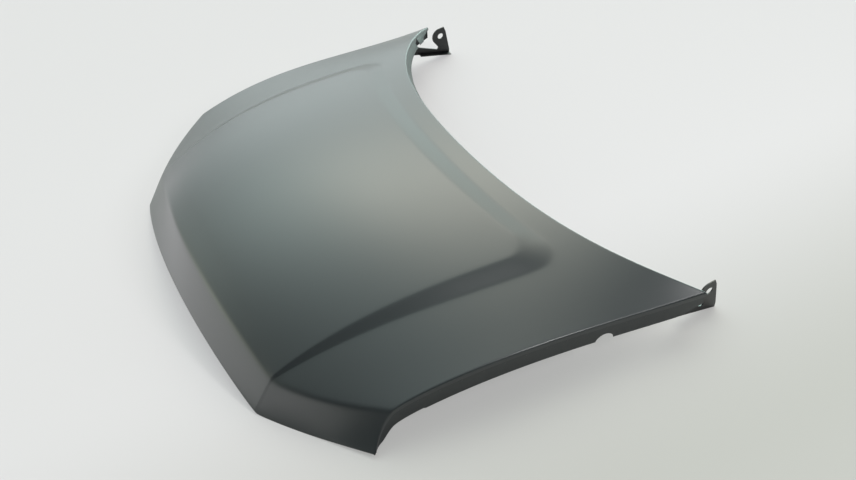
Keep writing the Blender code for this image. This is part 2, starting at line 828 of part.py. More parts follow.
def bolt_and_nut(names, spot, seat, radius, finishes):
    """A flanged hexagon bolt from below, and the weld nut on the reinforcement that it screws into."""
    at = seat.place @ Matrix.Translation((spot[0], spot[1], 0.0))
    head_top = seat.plate_bottom - SEAT_CLEARANCE
    head_bottom = head_top - BOLT_HEAD_HEIGHT * radius
    flange_bottom = head_top - BOLT_FLANGE_HEIGHT * radius
    nut_bottom = seat.reinforcement_top + SEAT_CLEARANCE
    nut_top = nut_bottom + NUT_HEIGHT * radius
    end = nut_top + BOLT_END_REACH * radius
    bolt_rings = [
        hexagon(BOLT_HEAD_FLAT * radius, head_bottom),
        hexagon(BOLT_HEAD_FLAT * radius, flange_bottom),
        circle(BOLT_FLANGE_RADIUS * radius, flange_bottom),
        circle(BOLT_FLANGE_RADIUS * radius, head_top),
        circle(radius, head_top),
        circle(radius, end),
        circle(BOLT_POINT_RADIUS * radius, end + BOLT_POINT_LENGTH * radius),
    ]
    rings_object(names[0], bolt_rings, at, finishes[0])
    hole = radius + NUT_CLEARANCE
    nut_rings = [
        circle(hole, nut_bottom),
        hexagon(NUT_FLAT * radius, nut_bottom),
        hexagon(NUT_FLAT * radius, nut_top),
        circle(hole, nut_top),
    ]
    rings_object(names[1], nut_rings, at, finishes[1], ring_closed=True)


def drill(target, spots, seat, radius, name, sign=1):
    """Round holes through everything of the target that lies within the seat's stack."""
    low = seat.plate_bottom - DRILL_OVERRUN
    high = seat.reinforcement_top + DRILL_OVERRUN
    for number, spot in enumerate(spots):
        at = mirrored(sign) @ seat.place @ Matrix.Translation((spot[0], spot[1], 0.0))
        rings = [circle(radius, low), circle(radius, high)]
        boolean(target, rings_object(f"{name}_drill_{number}", rings, at, None), "DIFFERENCE")


# Hinge brackets


def ear_outline():
    """The upright ear: a round lobe about the eye, a peak behind it, and a neck that widens down to the bar."""
    outline = [(EAR_REAR, EAR_STRAIGHT_TOP), (EAR_PEAK_AT, EAR_PEAK_RISE)]
    for angle in [LOBE_START, *spread(LOBE_START, LOBE_END, LOBE_STEPS)]:
        outline.append((EAR_RADIUS * math.cos(angle), EAR_RADIUS * math.sin(angle)))
    neck = -NECK_LEAD
    root = neck - NECK_ROOT_RUN
    outline.append((neck, bar_top(EYE_Y + neck) + NECK_ROOT_RISE - EYE_Z))
    outline.append((root, bar_top(EYE_Y + root) - EYE_Z))
    return [(EYE_Y + y, EYE_Z + z) for y, z in outline]


def bar_bottom(y):
    """Height of the bar's lower edge, which stands on the floor at its rear end."""
    return BAR_SLOPE * (BAR_REAR - y)


def bar_top(y):
    return bar_bottom(y) + BAR_HEIGHT


def seat_reach(seat):
    """How far along the seat's X the upright plate's middle lies."""
    return (BRACKET_X - SEAT_X) / seat.place[0][0]


def seat_edge(seat, y_local):
    """Where the seat plate's middle layer meets the upright plate, at one end of the seat."""
    return seat.place @ Vector((seat_reach(seat), y_local, 0.5 * (seat.plate_top + seat.plate_bottom)))


def upright_outline(seat):
    """Outline in (y, z) of the bracket's upright plate, from the bar's rear foot round to its front foot."""
    front_top = seat_edge(seat, -0.5 * SEAT_LENGTH)
    rear_top = seat_edge(seat, 0.5 * SEAT_LENGTH)
    front = front_top.y
    outline = [(BAR_REAR, 0.0), (BAR_REAR, BAR_HEIGHT)]
    outline += ear_outline()
    outline += [(BAR_FRONT, bar_top(BAR_FRONT) + WEB_RISE)]
    outline += [(rear_top.y, rear_top.z), (front, front_top.z)]
    outline += [(front, bar_top(front))]
    outline += [(front + BAR_HEIGHT, bar_bottom(front + BAR_HEIGHT))]
    return outline


def prism(name, outline, low_x, high_x, finish=None):
    """A flat plate from an outline in (y, z), between two places across the car."""
    rings = [[(x, y, z) for y, z in outline] for x in (low_x, high_x)]
    return rings_object(name, rings, Matrix.Identity(4), finish)


def make_bracket(name, sign, seat, finish):
    """Bent plate: the upright with its ear, a foot flange along the bar and a seat plate under the frame."""
    half = 0.5 * BRACKET_PLATE
    upright = prism(name, upright_outline(seat), BRACKET_X - half, BRACKET_X + half, finish)
    foot = [(BAR_REAR, 0.0), (BAR_REAR, BRACKET_PLATE), (BAR_FRONT, bar_bottom(BAR_FRONT) + BRACKET_PLATE)]
    foot += [(BAR_FRONT, bar_bottom(BAR_FRONT))]
    flange = prism(f"{name}_foot", foot, BRACKET_X - half - BAR_FLANGE, BRACKET_X)
    low = (-0.5 * SEAT_WIDTH, -0.5 * SEAT_LENGTH, seat.plate_bottom)
    high = (seat_reach(seat) + 2 * BRACKET_PLATE, 0.5 * SEAT_LENGTH, seat.plate_top)
    plate = block(f"{name}_seat", low, high, seat.place)
    trim_low = (BRACKET_X + half, SEAT_Y - SEAT_LENGTH, 0.0)
    trim_high = (BRACKET_X + SEAT_WIDTH, SEAT_Y + SEAT_LENGTH, 2 * seat.place.translation.z)
    trim = block(f"{name}_trim", trim_low, trim_high, Matrix.Identity(4))
    eye_place = Matrix.Translation((BRACKET_X, EYE_Y, EYE_Z)) @ Matrix.Rotation(math.pi / 2, 4, "Y")
    eye_rings = [circle(EYE_HOLE_RADIUS, z, EYE_SIDES) for z in (-SEAT_WIDTH, SEAT_WIDTH)]
    eye = rings_object(f"{name}_eye", eye_rings, eye_place, None)
    boolean(upright, flange, "UNION")
    boolean(upright, plate, "UNION")
    boolean(upright, trim, "DIFFERENCE")
    boolean(upright, eye, "DIFFERENCE")
    drill(upright, hinge_bolt_spots(), seat, HINGE_BOLT_RADIUS + HOLE_CLEARANCE, name)
    if sign < 0:
        turn_over(upright)
    return upright


def turn_over(item):
    """Mirrors a piece and every shape that its modifiers use to the other side of the car."""
    group = [item] + [change.object for change in item.modifiers if change.type == "BOOLEAN"]
    for member in group:
        member.data.transform(mirrored(-1))
        member.data.flip_normals()


# Latch pieces


def make_latch(seat, finishes):
    low = (-0.5 * LATCH_WIDTH, -0.5 * LATCH_LENGTH)
    high = (0.5 * LATCH_WIDTH, 0.5 * LATCH_LENGTH)
    plate_ends = (*low, seat.plate_bottom), (*high, seat.plate_top)
    plate = block("striker_plate", *plate_ends, seat.place, finishes["zinc"])
    drill(plate, striker_bolt_spots(), seat, STRIKER_BOLT_RADIUS + HOLE_CLEARANCE, "striker_plate")
    bottom = seat.reinforcement_bottom
    top = seat.reinforcement_top
    backing = block("latch_reinforcement", (*low, bottom), (*high, top), seat.place, finishes["bare"])
    drill(backing, striker_bolt_spots(), seat, STRIKER_BOLT_RADIUS + HOLE_CLEARANCE, "latch_reinforcement")
    make_striker(seat, finishes["zinc"])
    for number, spot in enumerate(striker_bolt_spots()):
        names = (f"striker_bolt_{number + 1}", f"striker_nut_{number + 1}")
        bolt_and_nut(names, spot, seat, STRIKER_BOLT_RADIUS, (finishes["zinc"], finishes["bare"]))


def make_striker(seat, finish):
    """The round bar bent into a loop, standing down from the striker plate between its bolts."""
    path = []
    top = seat.plate_bottom - SEAT_CLEARANCE
    radius = 0.5 * STRIKER_SPAN
    bend = top - STRIKER_REACH + radius
    path.append((0.0, radius, top))
    for k in range(2 * BEND_STEPS + 1):
        angle = math.pi * k / (2 * BEND_STEPS)
        path.append((0.0, radius * math.cos(angle), bend - radius * math.sin(angle)))
    path.append((0.0, -radius, top))
    rings = []
    for n, point in enumerate(path):
        before = Vector(path[max(n - 1, 0)])
        after = Vector(path[min(n + 1, len(path) - 1)])
        along = (after - before).normalized()
        side = Vector((1.0, 0.0, 0.0))
        normal = along.cross(side)
        round_wire = circle(STRIKER_WIRE, 0.0)
        rings.append([Vector(point) + a * side + b * normal for a, b, _z in round_wire])
    return rings_object("striker_loop", rings, seat.place, finish)


# Hinge fasteners and mastic pads


def make_hinge_side(label, sign, seat, finishes):
    bracket = make_bracket(f"hinge_bracket_{label}", sign, seat, finishes["black"])
    side_items = [bracket]
    low = (-0.5 * SEAT_WIDTH, -0.5 * SEAT_LENGTH, seat.reinforcement_bottom)
    high = (0.5 * SEAT_WIDTH, 0.5 * SEAT_LENGTH, seat.reinforcement_top)
    backing = block(f"hinge_reinforcement_{label}", low, high, seat.place, finishes["bare"])
    drill(backing, hinge_bolt_spots(), seat, HINGE_BOLT_RADIUS + HOLE_CLEARANCE, f"reinforcement_{label}")
    side_items.append(backing)
    for number, spot in enumerate(hinge_bolt_spots()):
        names = (f"hinge_bolt_{label}_{number + 1}", f"hinge_nut_{label}_{number + 1}")
        bolt_and_nut(names, spot, seat, HINGE_BOLT_RADIUS, (finishes["zinc"], finishes["bare"]))
        side_items += [bpy.data.objects[name] for name in names]
    if sign < 0:
        for item in side_items[1:]:
            turn_over(item)


def land_cells():
    """The cells of the frame's lands that carry a mastic pad, as (column, row) pairs on the left half."""
    rows = []
    row = 0
    for _line, count, depth, is_open in row_lines():
        row += count
        if depth == LAND_STEP:
            rows.append(row - 1)
    front_land = rows[1]
    rib_lands = (rows[3], rows[4])
    rear_land = rows[-1]
    inner = COLUMN_DEPTHS.index(None)
    outer = max(COLUMN_OPEN)
    inner_rows = (front_land, rib_lands[0], rib_lands[1] + 1, rear_land)
    return [(inner, row) for row in inner_rows] + [(outer - 1, front_land), (outer - 1, rear_land)]


def make_pads(finish):
    """Soft mastic pads between the frame's lands and the skin."""
    number = 0
    for column, row in land_cells():
        for sign in (-1, 1):
            i = column if sign > 0 else -column - 1
            keys = [(i, row), (i + 1, row), (i + 1, row + 1), (i, row + 1)]
            corners = [Vector((*PANEL.points[key], skin_height(*PANEL.points[key]))) for key in keys]
            middle = sum(corners, Vector()) / 4
            up = (corners[2] - corners[0]).cross(corners[3] - corners[1]).normalized()
            lower = Vector((0.0, 0.0, -LAND_STEP)).dot(up) + PAD_CLEARANCE
            upper = -SKIN_SHEET - PAD_CLEARANCE
            turn = up.to_track_quat("Z", "Y").to_matrix().to_4x4()
            place = Matrix.Translation(middle) @ turn
            number += 1
            rings = [circle(PAD_RADIUS, lower, PAD_SIDES), circle(PAD_RADIUS, upper, PAD_SIDES)]
            rings_object(f"mastic_pad_{number:02d}", rings, place, finish)


def stand_over_origin():
    """Moves everything so that the middle of the part's length lies at y = 0."""
    graph = bpy.context.evaluated_depsgraph_get()
    shown = [item.evaluated_get(graph) for item in bpy.data.objects if not item.hide_render]
    reach = [corner[1] for item in shown for corner in item.bound_box]
    middle = 0.5 * (min(reach) + max(reach))
    for item in bpy.data.objects:
        item.data.transform(Matrix.Translation((0.0, -middle, 0.0)))


def main():
    clear_scene()
    finishes = {
        "skin": material("satin_primer", (0.045, 0.052, 0.054), 0.38, 0.0),
        "bare": material("primed_sheet", (0.050, 0.056, 0.058), 0.45, 0.0),
        "black": material("black_paint", (0.012, 0.012, 0.013), 0.35, 0.0),
        "zinc": material("zinc_plate", (0.60, 0.61, 0.60), 0.35, 1.0),
        "mastic": material("mastic", (0.03, 0.03, 0.03), 0.8, 0.0),
    }
    make_skin(finishes["skin"])
    frame = make_frame(finishes["bare"])
    frame_tree = BVHTree.FromObject(frame, bpy.context.evaluated_depsgraph_get())
    hinge_seat = Seat(frame_tree, SEAT_X, SEAT_Y, SEAT_WIDTH, SEAT_LENGTH, BRACKET_PLATE)
    latch_seat = Seat(frame_tree, 0.0, LATCH_AT, LATCH_WIDTH, LATCH_LENGTH, STRIKER_PLATE)
    cut_side_notches(frame)
    cut_rear_notches(frame)
    for sign in (-1, 1):
        hole = HINGE_BOLT_RADIUS + HOLE_CLEARANCE
        drill(frame, hinge_bolt_spots(), hinge_seat, hole, f"frame_hinge_{sign}", sign)
    drill(frame, striker_bolt_spots(), latch_seat, STRIKER_BOLT_RADIUS + HOLE_CLEARANCE, "frame_latch")
    make_hinge_side("left", 1, hinge_seat, finishes)
    make_hinge_side("right", -1, hinge_seat, finishes)
    make_latch(latch_seat, finishes)
    make_pads(finishes["mastic"])
    stand_over_origin()


main()
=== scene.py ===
# %% [markdown]
# # A car bonnet, dressed for its portrait
#
# The bonnet of a car is two thin steel pressings with a few brackets and fasteners. Its solids are made
# already, and this lesson loads them as a fixed frame. It then gives them what a camera looks for: a skin
# with a true curve and crisp folds, a pressed frame with round corners, spot welds along its side flanges,
# softened edges, and the finishes. Everything is in metres. +X is the car's left side, -Y its nose and +Z up.

# %% Load the frame
import json
import math

import bpy
import numpy as np
from mathutils import Matrix, Vector


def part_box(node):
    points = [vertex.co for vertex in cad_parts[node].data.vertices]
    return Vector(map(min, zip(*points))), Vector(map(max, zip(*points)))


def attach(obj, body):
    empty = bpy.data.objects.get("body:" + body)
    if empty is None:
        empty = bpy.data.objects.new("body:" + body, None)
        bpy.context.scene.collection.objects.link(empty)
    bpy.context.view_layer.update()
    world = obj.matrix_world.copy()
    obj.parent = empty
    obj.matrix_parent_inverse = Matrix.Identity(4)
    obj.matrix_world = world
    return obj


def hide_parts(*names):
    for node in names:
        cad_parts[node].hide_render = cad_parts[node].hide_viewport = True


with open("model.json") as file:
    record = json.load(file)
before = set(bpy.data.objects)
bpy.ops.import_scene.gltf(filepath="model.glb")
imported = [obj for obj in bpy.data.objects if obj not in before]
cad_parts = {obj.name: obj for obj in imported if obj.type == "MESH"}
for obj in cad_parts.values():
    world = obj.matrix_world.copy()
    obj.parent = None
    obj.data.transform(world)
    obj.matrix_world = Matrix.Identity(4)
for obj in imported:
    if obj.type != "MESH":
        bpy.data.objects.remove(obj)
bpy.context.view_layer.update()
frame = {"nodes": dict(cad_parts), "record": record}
print("nodes in the frame:", len(frame["nodes"]))

# %% [markdown]
# ## The sizes of the pressing
#
# A press shop works from a few section lines. The same lines are the driving sizes here: the outline seen
# from above, the heights along the middle and how far the sheet falls away to the sides. y runs from the
# nose, and one shift at the end brings it to the frame, whose origin is under the middle of the whole part.

# %% Driving sizes of the outline and the crown
CENTRE_LENGTH = 0.810
TIP_LENGTH = 1.141
REAR_HALF_WIDTH = 0.720
REAR_CORNER_SHARE = 0.28
NOSE_HALF_WIDTH = 0.427
NOSE_SWEEP = 0.0443
FRONT_HALF_WIDTH = 0.677
HEADLAMP_SWEEP = 0.1955
HEADLAMP_BOW = 0.0153
SIDE_WAIST = 0.635
SIDE_FLARE = 0.029
SIDE_WAVE = 0.003
NOSE_DEPTH = 0.056
NOSE_DROP = 0.095
CORNER_DROP = 0.092
CREASE_SWEEP = 0.0459
CREASE_OUT_SWEEP = 0.2435
CREASE_OUT_BOW = 0.103
CREASE_SOFT = 0.006
CORNER_SOFT = 0.008
CENTRE_SECTIONS = (0.05, 0.35, 0.65, 0.95)
CENTRE_HEIGHTS = (0.171, 0.2795, 0.281, 0.260)
CROSS_SECTIONS = (0.10, 0.60, 1.10)
INNER_REACH = 0.35
INNER_FALLS = (0.0712, 0.0440, 0.0235)
OUTER_REACH = 0.65
OUTER_FALLS = (0.2054, 0.1327, 0.1162)
FIELD_REAR = 0.749
FIELD_REAR_BOW = 0.442
FIELD_REAR_HALF_WIDTH = 0.5085
FIELD_SIDE_BOW = 0.053
FIELD_RISE_REAR = 0.0115
FIELD_RISE_FRONT = 0.0027
SLOPE_WIDTH_REAR = 0.057
SLOPE_WIDTH_SIDE = 0.046
SLOPE_WIDTH_FRONT = 0.006
SLOPE_BOW = 0.031
# Corner radii and rounding of the slope's edges, as shares of the slope's width.
FOOT_CORNER = 1.5
TOP_CORNER = 1.3
SLOPE_SOFT = 0.10
SKIN_SHEET = 0.0008
FOLD_RADIUS = 0.003
SIDE_HEM = 0.014
REAR_HEM = 0.010
FRONT_HEM = 0.010
SIDE_TUMBLE = math.radians(1)
REAR_SLANT = math.radians(28)
FOLD_SEGMENTS = 3
# An edge of the skin's blank is a fold from the first angle on, and a finished edge is sharp from the second.
FOLD_FROM = math.radians(50)
SHARP_FROM = math.radians(40)
# The rear end of the hinge brackets, behind the nose. It ties these sizes to the frame's origin.
BAR_REAR = 1.209
FRONT_SAMPLES = 61

nose_to_origin = BAR_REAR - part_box("hinge_bracket_left")[1].y
print("the origin lies", round(nose_to_origin, 4), "m behind the nose")

# %% [markdown]
# ## One helper for nodes, and rules that nodes work out
#
# Every node tree below is built with one small function: it adds a node, sets it up and links what goes in.
# A Rule is a number that varies over a mesh. Adding or multiplying Rules adds Math nodes, so that one formula
# in plain Python serves twice: with arrays it lays out the sheet, and with Rules it becomes Geometry Nodes.

# %% A helper for nodes and the Rule
def add_node(tree, kind, inputs=None, **settings):
    node = tree.nodes.new(kind)
    for name, value in settings.items():
        setattr(node, name, value)
    for key, value in (inputs or {}).items():
        if isinstance(value, bpy.types.NodeSocket):
            tree.links.new(value, node.inputs[key])
        else:
            node.inputs[key].default_value = value
    return node


class Rule:
    """A number that varies over a mesh, worked out in a node tree."""

    def __init__(self, tree, socket):
        self.tree = tree
        self.socket = socket

    def math(self, operation, *others):
        values = [other.socket if isinstance(other, Rule) else other for other in (self, *others)]
        node = add_node(self.tree, "ShaderNodeMath", dict(enumerate(values)), operation=operation)
        return Rule(self.tree, node.outputs[0])

    def __add__(self, other):
        return self.math("ADD", other)

    def __sub__(self, other):
        return self.math("SUBTRACT", other)

    def __mul__(self, other):
        return self.math("MULTIPLY", other)

    def __truediv__(self, other):
        return self.math("DIVIDE", other)

    def __rsub__(self, other):
        return self * -1.0 + other

    __radd__ = __add__
    __rmul__ = __mul__


def root(value):
    return value.math("SQRT") if isinstance(value, Rule) else np.sqrt(value)


def size_of(value):
    return value.math("ABSOLUTE") if isinstance(value, Rule) else np.abs(value)


def larger(value, other):
    return value.math("MAXIMUM", other) if isinstance(value, Rule) else np.maximum(value, other)


def smaller(value, other):
    return value.math("MINIMUM", other) if isinstance(value, Rule) else np.minimum(value, other)


# %% [markdown]
# ## The outline, seen from above
#
# The nose is a shallow bow between two corners, and each headlamp takes a swept piece out of it. The rear
# edge is a deep bow that ends in two sharp tips. The sides have a slight waist behind the front corners.
# Each line is a short formula, as a draughtsperson would lay a spline through few points.

# %% Curves of the outline
def ramp(distance, soft):
    """The distance where it is positive and nothing where it is negative, with a rounded corner between."""
    return (distance + root(distance * distance + soft * soft)) * 0.5


def swept_line(x, sweep, outer_sweep, outer_bow):
    beyond = ramp(size_of(x) - NOSE_HALF_WIDTH, CORNER_SOFT)
    share = beyond / (FRONT_HALF_WIDTH - NOSE_HALF_WIDTH)
    across = (size_of(x) - beyond) / NOSE_HALF_WIDTH
    return across * across * sweep + share * (outer_sweep - outer_bow) + share * share * outer_bow


def front_edge(x):
    return swept_line(x, NOSE_SWEEP, HEADLAMP_SWEEP, HEADLAMP_BOW)


def crease_line(x):
    return swept_line(x, CREASE_SWEEP, CREASE_OUT_SWEEP, CREASE_OUT_BOW) + NOSE_DEPTH


def rear_edge(x):
    square = (x / REAR_HALF_WIDTH) ** 2
    bow = (1 - REAR_CORNER_SHARE) * square + REAR_CORNER_SHARE * square**2
    return CENTRE_LENGTH + (TIP_LENGTH - CENTRE_LENGTH) * bow


def side_half_width(v):
    """Half the width from the front corner (v = 0) to the rear tip (v = 1)."""
    flare = np.exp(-v / SIDE_FLARE)
    wave = SIDE_WAVE * np.sin(2 * np.pi * v) * (1 - flare)
    return SIDE_WAIST + (REAR_HALF_WIDTH - SIDE_WAIST) * v + (FRONT_HALF_WIDTH - SIDE_WAIST) * flare + wave


def plan_y(x, v):
    share = x / side_half_width(v)
    front = front_edge(share * FRONT_HALF_WIDTH)
    return front + (rear_edge(share * REAR_HALF_WIDTH) - front) * v


# %% [markdown]
# ## The crown, the nose band and the raised field
#
# The height of the sheet at a point is the sum of three simple things. The crown is a smooth cubic along the
# middle that falls away to both sides. The nose band hangs steeply from a soft crease. The raised field is a
# low plateau whose slope is wide at the rear and sharp at the front, with a round corner at each rear end.

# %% The height of the sheet
def polynomial(stations, values, y):
    """The smooth curve through a value at each station."""
    result = 0.0
    for factor in np.polyfit(stations, values, len(stations) - 1):
        result = y * result + float(factor)
    return result


def field_rear(x):
    return x * x * FIELD_REAR_BOW + FIELD_REAR


def field_side(y):
    """Half width of the raised field at y, and the share of its length that lies ahead of y."""
    start = float(crease_line(np.float64(NOSE_HALF_WIDTH)))
    t = smaller(larger((y - start) / (FIELD_REAR - start), 0.0), 1.0)
    bow = t * (1 - t) * FIELD_SIDE_BOW
    return t * (FIELD_REAR_HALF_WIDTH - NOSE_HALF_WIDTH) + bow + NOSE_HALF_WIDTH, t


def slope_width(t):
    """Width of the slope round the raised field, at a share of the field's length."""
    return t * (SLOPE_WIDTH_SIDE - SLOPE_WIDTH_FRONT) + t * (1 - t) * SLOPE_BOW + SLOPE_WIDTH_FRONT


def inside_corner(a, b, corner):
    """How far a point is inside a rounded corner, from its distances to the two sides."""
    short_a = larger(corner - a, 0.0)
    short_b = larger(corner - b, 0.0)
    past = larger(smaller(a, b) - corner, 0.0)
    return past + corner - root(short_a * short_a + short_b * short_b)


def field_rise(x, y, rise_front, rise_rear):
    """The slope is ruled from its foot to its top edge, and each of the two has its own corner radius."""
    half_width, t = field_side(y)
    from_side = (half_width - size_of(x)) / slope_width(t)
    from_rear = (field_rear(x) - y) / SLOPE_WIDTH_REAR
    foot = inside_corner(from_side, from_rear, FOOT_CORNER)
    top = inside_corner(from_side - 1.0, from_rear - 1.0, TOP_CORNER)
    share = foot / (foot - top)
    full = root(t) * (rise_rear - rise_front) + rise_front
    return full * (ramp(share, SLOPE_SOFT) - ramp(share - 1.0, SLOPE_SOFT))


def crown_height(x, y):
    inner = polynomial(CROSS_SECTIONS, INNER_FALLS, y) / INNER_REACH**2
    outer = polynomial(CROSS_SECTIONS, OUTER_FALLS, y) / OUTER_REACH**2
    quartic = (outer - inner) / (OUTER_REACH**2 - INNER_REACH**2)
    square = inner - quartic * INNER_REACH**2
    x2 = x * x
    return polynomial(CENTRE_SECTIONS, CENTRE_HEIGHTS, y) - square * x2 - quartic * x2 * x2


def raw_height(x, y, nose_drop=NOSE_DROP, rise_front=FIELD_RISE_FRONT, rise_rear=FIELD_RISE_REAR):
    crease = crease_line(x)
    ahead = ramp(crease - y, CREASE_SOFT)
    drop = size_of(x) * ((CORNER_DROP - NOSE_DROP) / FRONT_HALF_WIDTH) + nose_drop
    band = drop * ahead / (crease - front_edge(x))
    return crown_height(x, y + ahead) - band + field_rise(x, y, rise_front, rise_rear)


front_line = np.linspace(0.0, FRONT_HALF_WIDTH, FRONT_SAMPLES)
floor_drop = float(raw_height(front_line, front_edge(front_line)).min())
print("lowest point of the front edge taken as the floor:", round(floor_drop, 5))


def skin_height(x, y):
    """Height of the skin's outer face above the floor."""
    return raw_height(x, y) - floor_drop


def height_at(x, y):
    """The same height at one point, as a plain number."""
    return float(skin_height(np.float64(x), np.float64(y)))


# %% [markdown]
# ## The blank: a flat sheet with its grid where the shape will be
#
# A sheet bends smoothly only where it has points to bend at. This blank is a flat grid whose columns follow
# the sides of the raised field and whose rows follow the crease and the field's rear. They lie close together
# where the steel will curve and wide apart where it stays calm.

# %% Lay out the columns and rows of the blank
# Lines beside the slope's edges, as shares of its width inwards from its foot.
SLOPE_LINES = (2.3, 1.15, 0.85, 0.15, -0.15)
SKIN_COLUMN_COUNTS = (30, 10, 5, 7, 5, 25, 3)
SKIN_ROW_COUNTS = (6, 16, 38, 10, 5, 7, 5, 6, 3)
EDGE_STRIP = 0.018
CREASE_STRIP = 0.014
# How often a guess is improved, for the side of the field and for the crossing of two lines.
CORNER_PASSES = 4
HALVINGS = 24


def corner_line(v):
    """Half width, at v, of the raised field's side."""
    half = np.full_like(v, NOSE_HALF_WIDTH)
    for _ in range(CORNER_PASSES):
        half, _share = field_side(plan_y(half, v))
    return half


def skin_columns(v):
    """Lines that the columns of one half follow, from the middle to the side."""
    corner = corner_line(v)
    slope = slope_width(field_side(plan_y(corner, v))[1])
    side = side_half_width(v)
    lines = [0.0 * v]
    lines += [corner - slope * share for share in SLOPE_LINES]
    return [*lines, side - EDGE_STRIP, side]


def behind(line, distance):
    """The line across the panel that lies at a distance behind another one."""
    return lambda x: line(x) + distance


def skin_rows():
    """Lines that the rows follow behind the nose, with the number of intervals up to each."""
    lines = [behind(crease_line, -CREASE_STRIP), behind(crease_line, CREASE_STRIP)]
    lines += [behind(field_rear, -SLOPE_WIDTH_REAR * share) for share in SLOPE_LINES]
    lines += [behind(rear_edge, -EDGE_STRIP), rear_edge]
    return list(zip(lines, SKIN_ROW_COUNTS))


def column_x(number, share, lines, v):
    """Distance from the middle of the column that lies at a share between two lines."""
    ends = lines(v)
    return ends[number] + (ends[number + 1] - ends[number]) * share


def cross_line(number, share, lines, line):
    """The v at which a column crosses a line across the panel, by halving."""
    low, high = np.zeros(1), np.ones(1)
    for _ in range(HALVINGS):
        v = (low + high) / 2
        x = column_x(number, share, lines, v)
        ahead = plan_y(x, v) < line(x)
        low, high = np.where(ahead, v, low), np.where(ahead, high, v)
    return float((low + high)[0] / 2)


def plan_grid(lines, counts, rows):
    """Points in plan, as an array by column and row, from the right side to the left."""
    half = []
    for number, count in enumerate(counts):
        first = 0 if number == 0 else 1
        for step in range(first, count + 1):
            share = step / count
            v_at = [0.0]
            for line, intervals in rows[:-1]:
                end = cross_line(number, share, lines, line)
                v_at += list(np.linspace(v_at[-1], end, intervals + 1)[1:])
            v_at += list(np.linspace(v_at[-1], 1.0, rows[-1][1] + 1)[1:])
            v = np.array(v_at)
            x = column_x(number, share, lines, v)
            half.append(np.stack([x, plan_y(x, v)], axis=1))
    left = np.array(half)
    right = left[:0:-1] * np.array([-1.0, 1.0])
    return np.concatenate([right, left])


skin_plan = plan_grid(skin_columns, SKIN_COLUMN_COUNTS, skin_rows())
print("blank:", skin_plan.shape[0], "columns by", skin_plan.shape[1], "rows")

# %% [markdown]
# ## The folds round the border
#
# A pressed sheet is folded all round: down at the sides, down and back along the rear, and flat inwards at
# the nose. At a corner it is turned halfway between its two neighbours. The blank is square at the fold, and
# a Bevel gives it its radius later.

# %% Work out how the border is turned
def border_keys(columns, rows):
    """Grid places round the edge, anticlockwise from above, with the kind of edge at each."""
    front = [((i, 0), "front") for i in range(columns)]
    left = [((columns - 1, j), "side") for j in range(1, rows - 1)]
    rear = [((i, rows - 1), "rear") for i in range(columns - 1, -1, -1)]
    right = [((0, j), "side") for j in range(rows - 2, 0, -1)]
    return front + left + rear + right


def turned_edge(plan):
    """For each place round the border: its key, kind, point in plan, mitre and the way the sheet turns."""
    columns, rows = plan.shape[:2]
    down = Vector((0.0, 0.0, -1.0))
    border = border_keys(columns, rows)
    places = [Vector(plan[key]) for key, _kind in border]
    found = []
    for n, (key, kind) in enumerate(border):
        before = places[n] - places[n - 1]
        after = places[(n + 1) % len(places)] - places[n]
        normal_a = Vector((before.y, -before.x)).normalized()
        normal_b = Vector((after.y, -after.x)).normalized()
        mitre = (normal_a + normal_b) / (1 + normal_a.dot(normal_b))
        outward = Vector((*(normal_a + normal_b).normalized(), 0.0))
        turns = {
            "side": down * math.cos(SIDE_TUMBLE) - outward * math.sin(SIDE_TUMBLE),
            "rear": down * math.cos(REAR_SLANT) + outward * math.sin(REAR_SLANT),
            "front": -outward,
        }
        turn = turns[kind]
        if key[0] in (0, columns - 1) and key[1] in (0, rows - 1):
            turn = (turn + turns["side"]).normalized()
        found.append((key, kind, places[n], mitre, turn))
    return found


def flat_point(place, offset):
    """A point at an offset from the finished sheet's edge, as it is before the sheet is drawn up."""
    x, y = place.x + offset.x, place.y + offset.y
    return Vector((x, y, height_at(place.x, place.y) + offset.z - height_at(x, y)))


# %% [markdown]
# ## Drawing the sheet over the crown, in Geometry Nodes
#
# A press draws a flat sheet over a punch. Here a node tree is the punch: it reads where each point lies in
# plan and lifts it by the height rule. How far the nose hangs and how high the field stands are named inputs,
# so the same blank can be pressed with a flatter or fuller face. The skin and the inner frame share it.

# %% Build the punch
def new_tree(name, sizes):
    """A tree that takes a geometry, a named input in metres for each size, and a finish."""
    tree = bpy.data.node_groups.new(name, "GeometryNodeTree")
    tree.interface.new_socket("Geometry", in_out="INPUT", socket_type="NodeSocketGeometry")
    tree.interface.new_socket("Geometry", in_out="OUTPUT", socket_type="NodeSocketGeometry")
    for size, value in sizes.items():
        socket = tree.interface.new_socket(size, in_out="INPUT", socket_type="NodeSocketFloat")
        socket.default_value = value
        socket.subtype = "DISTANCE"
    tree.interface.new_socket("Finish", in_out="INPUT", socket_type="NodeSocketMaterial")
    return tree, add_node(tree, "NodeGroupInput")


def end_tree(tree, start, geometry):
    """Gives the geometry its finish and hands it on."""
    dressed = {"Geometry": geometry, "Material": start.outputs["Finish"]}
    inked = add_node(tree, "GeometryNodeSetMaterial", dressed)
    add_node(tree, "NodeGroupOutput", {"Geometry": inked.outputs[0]})


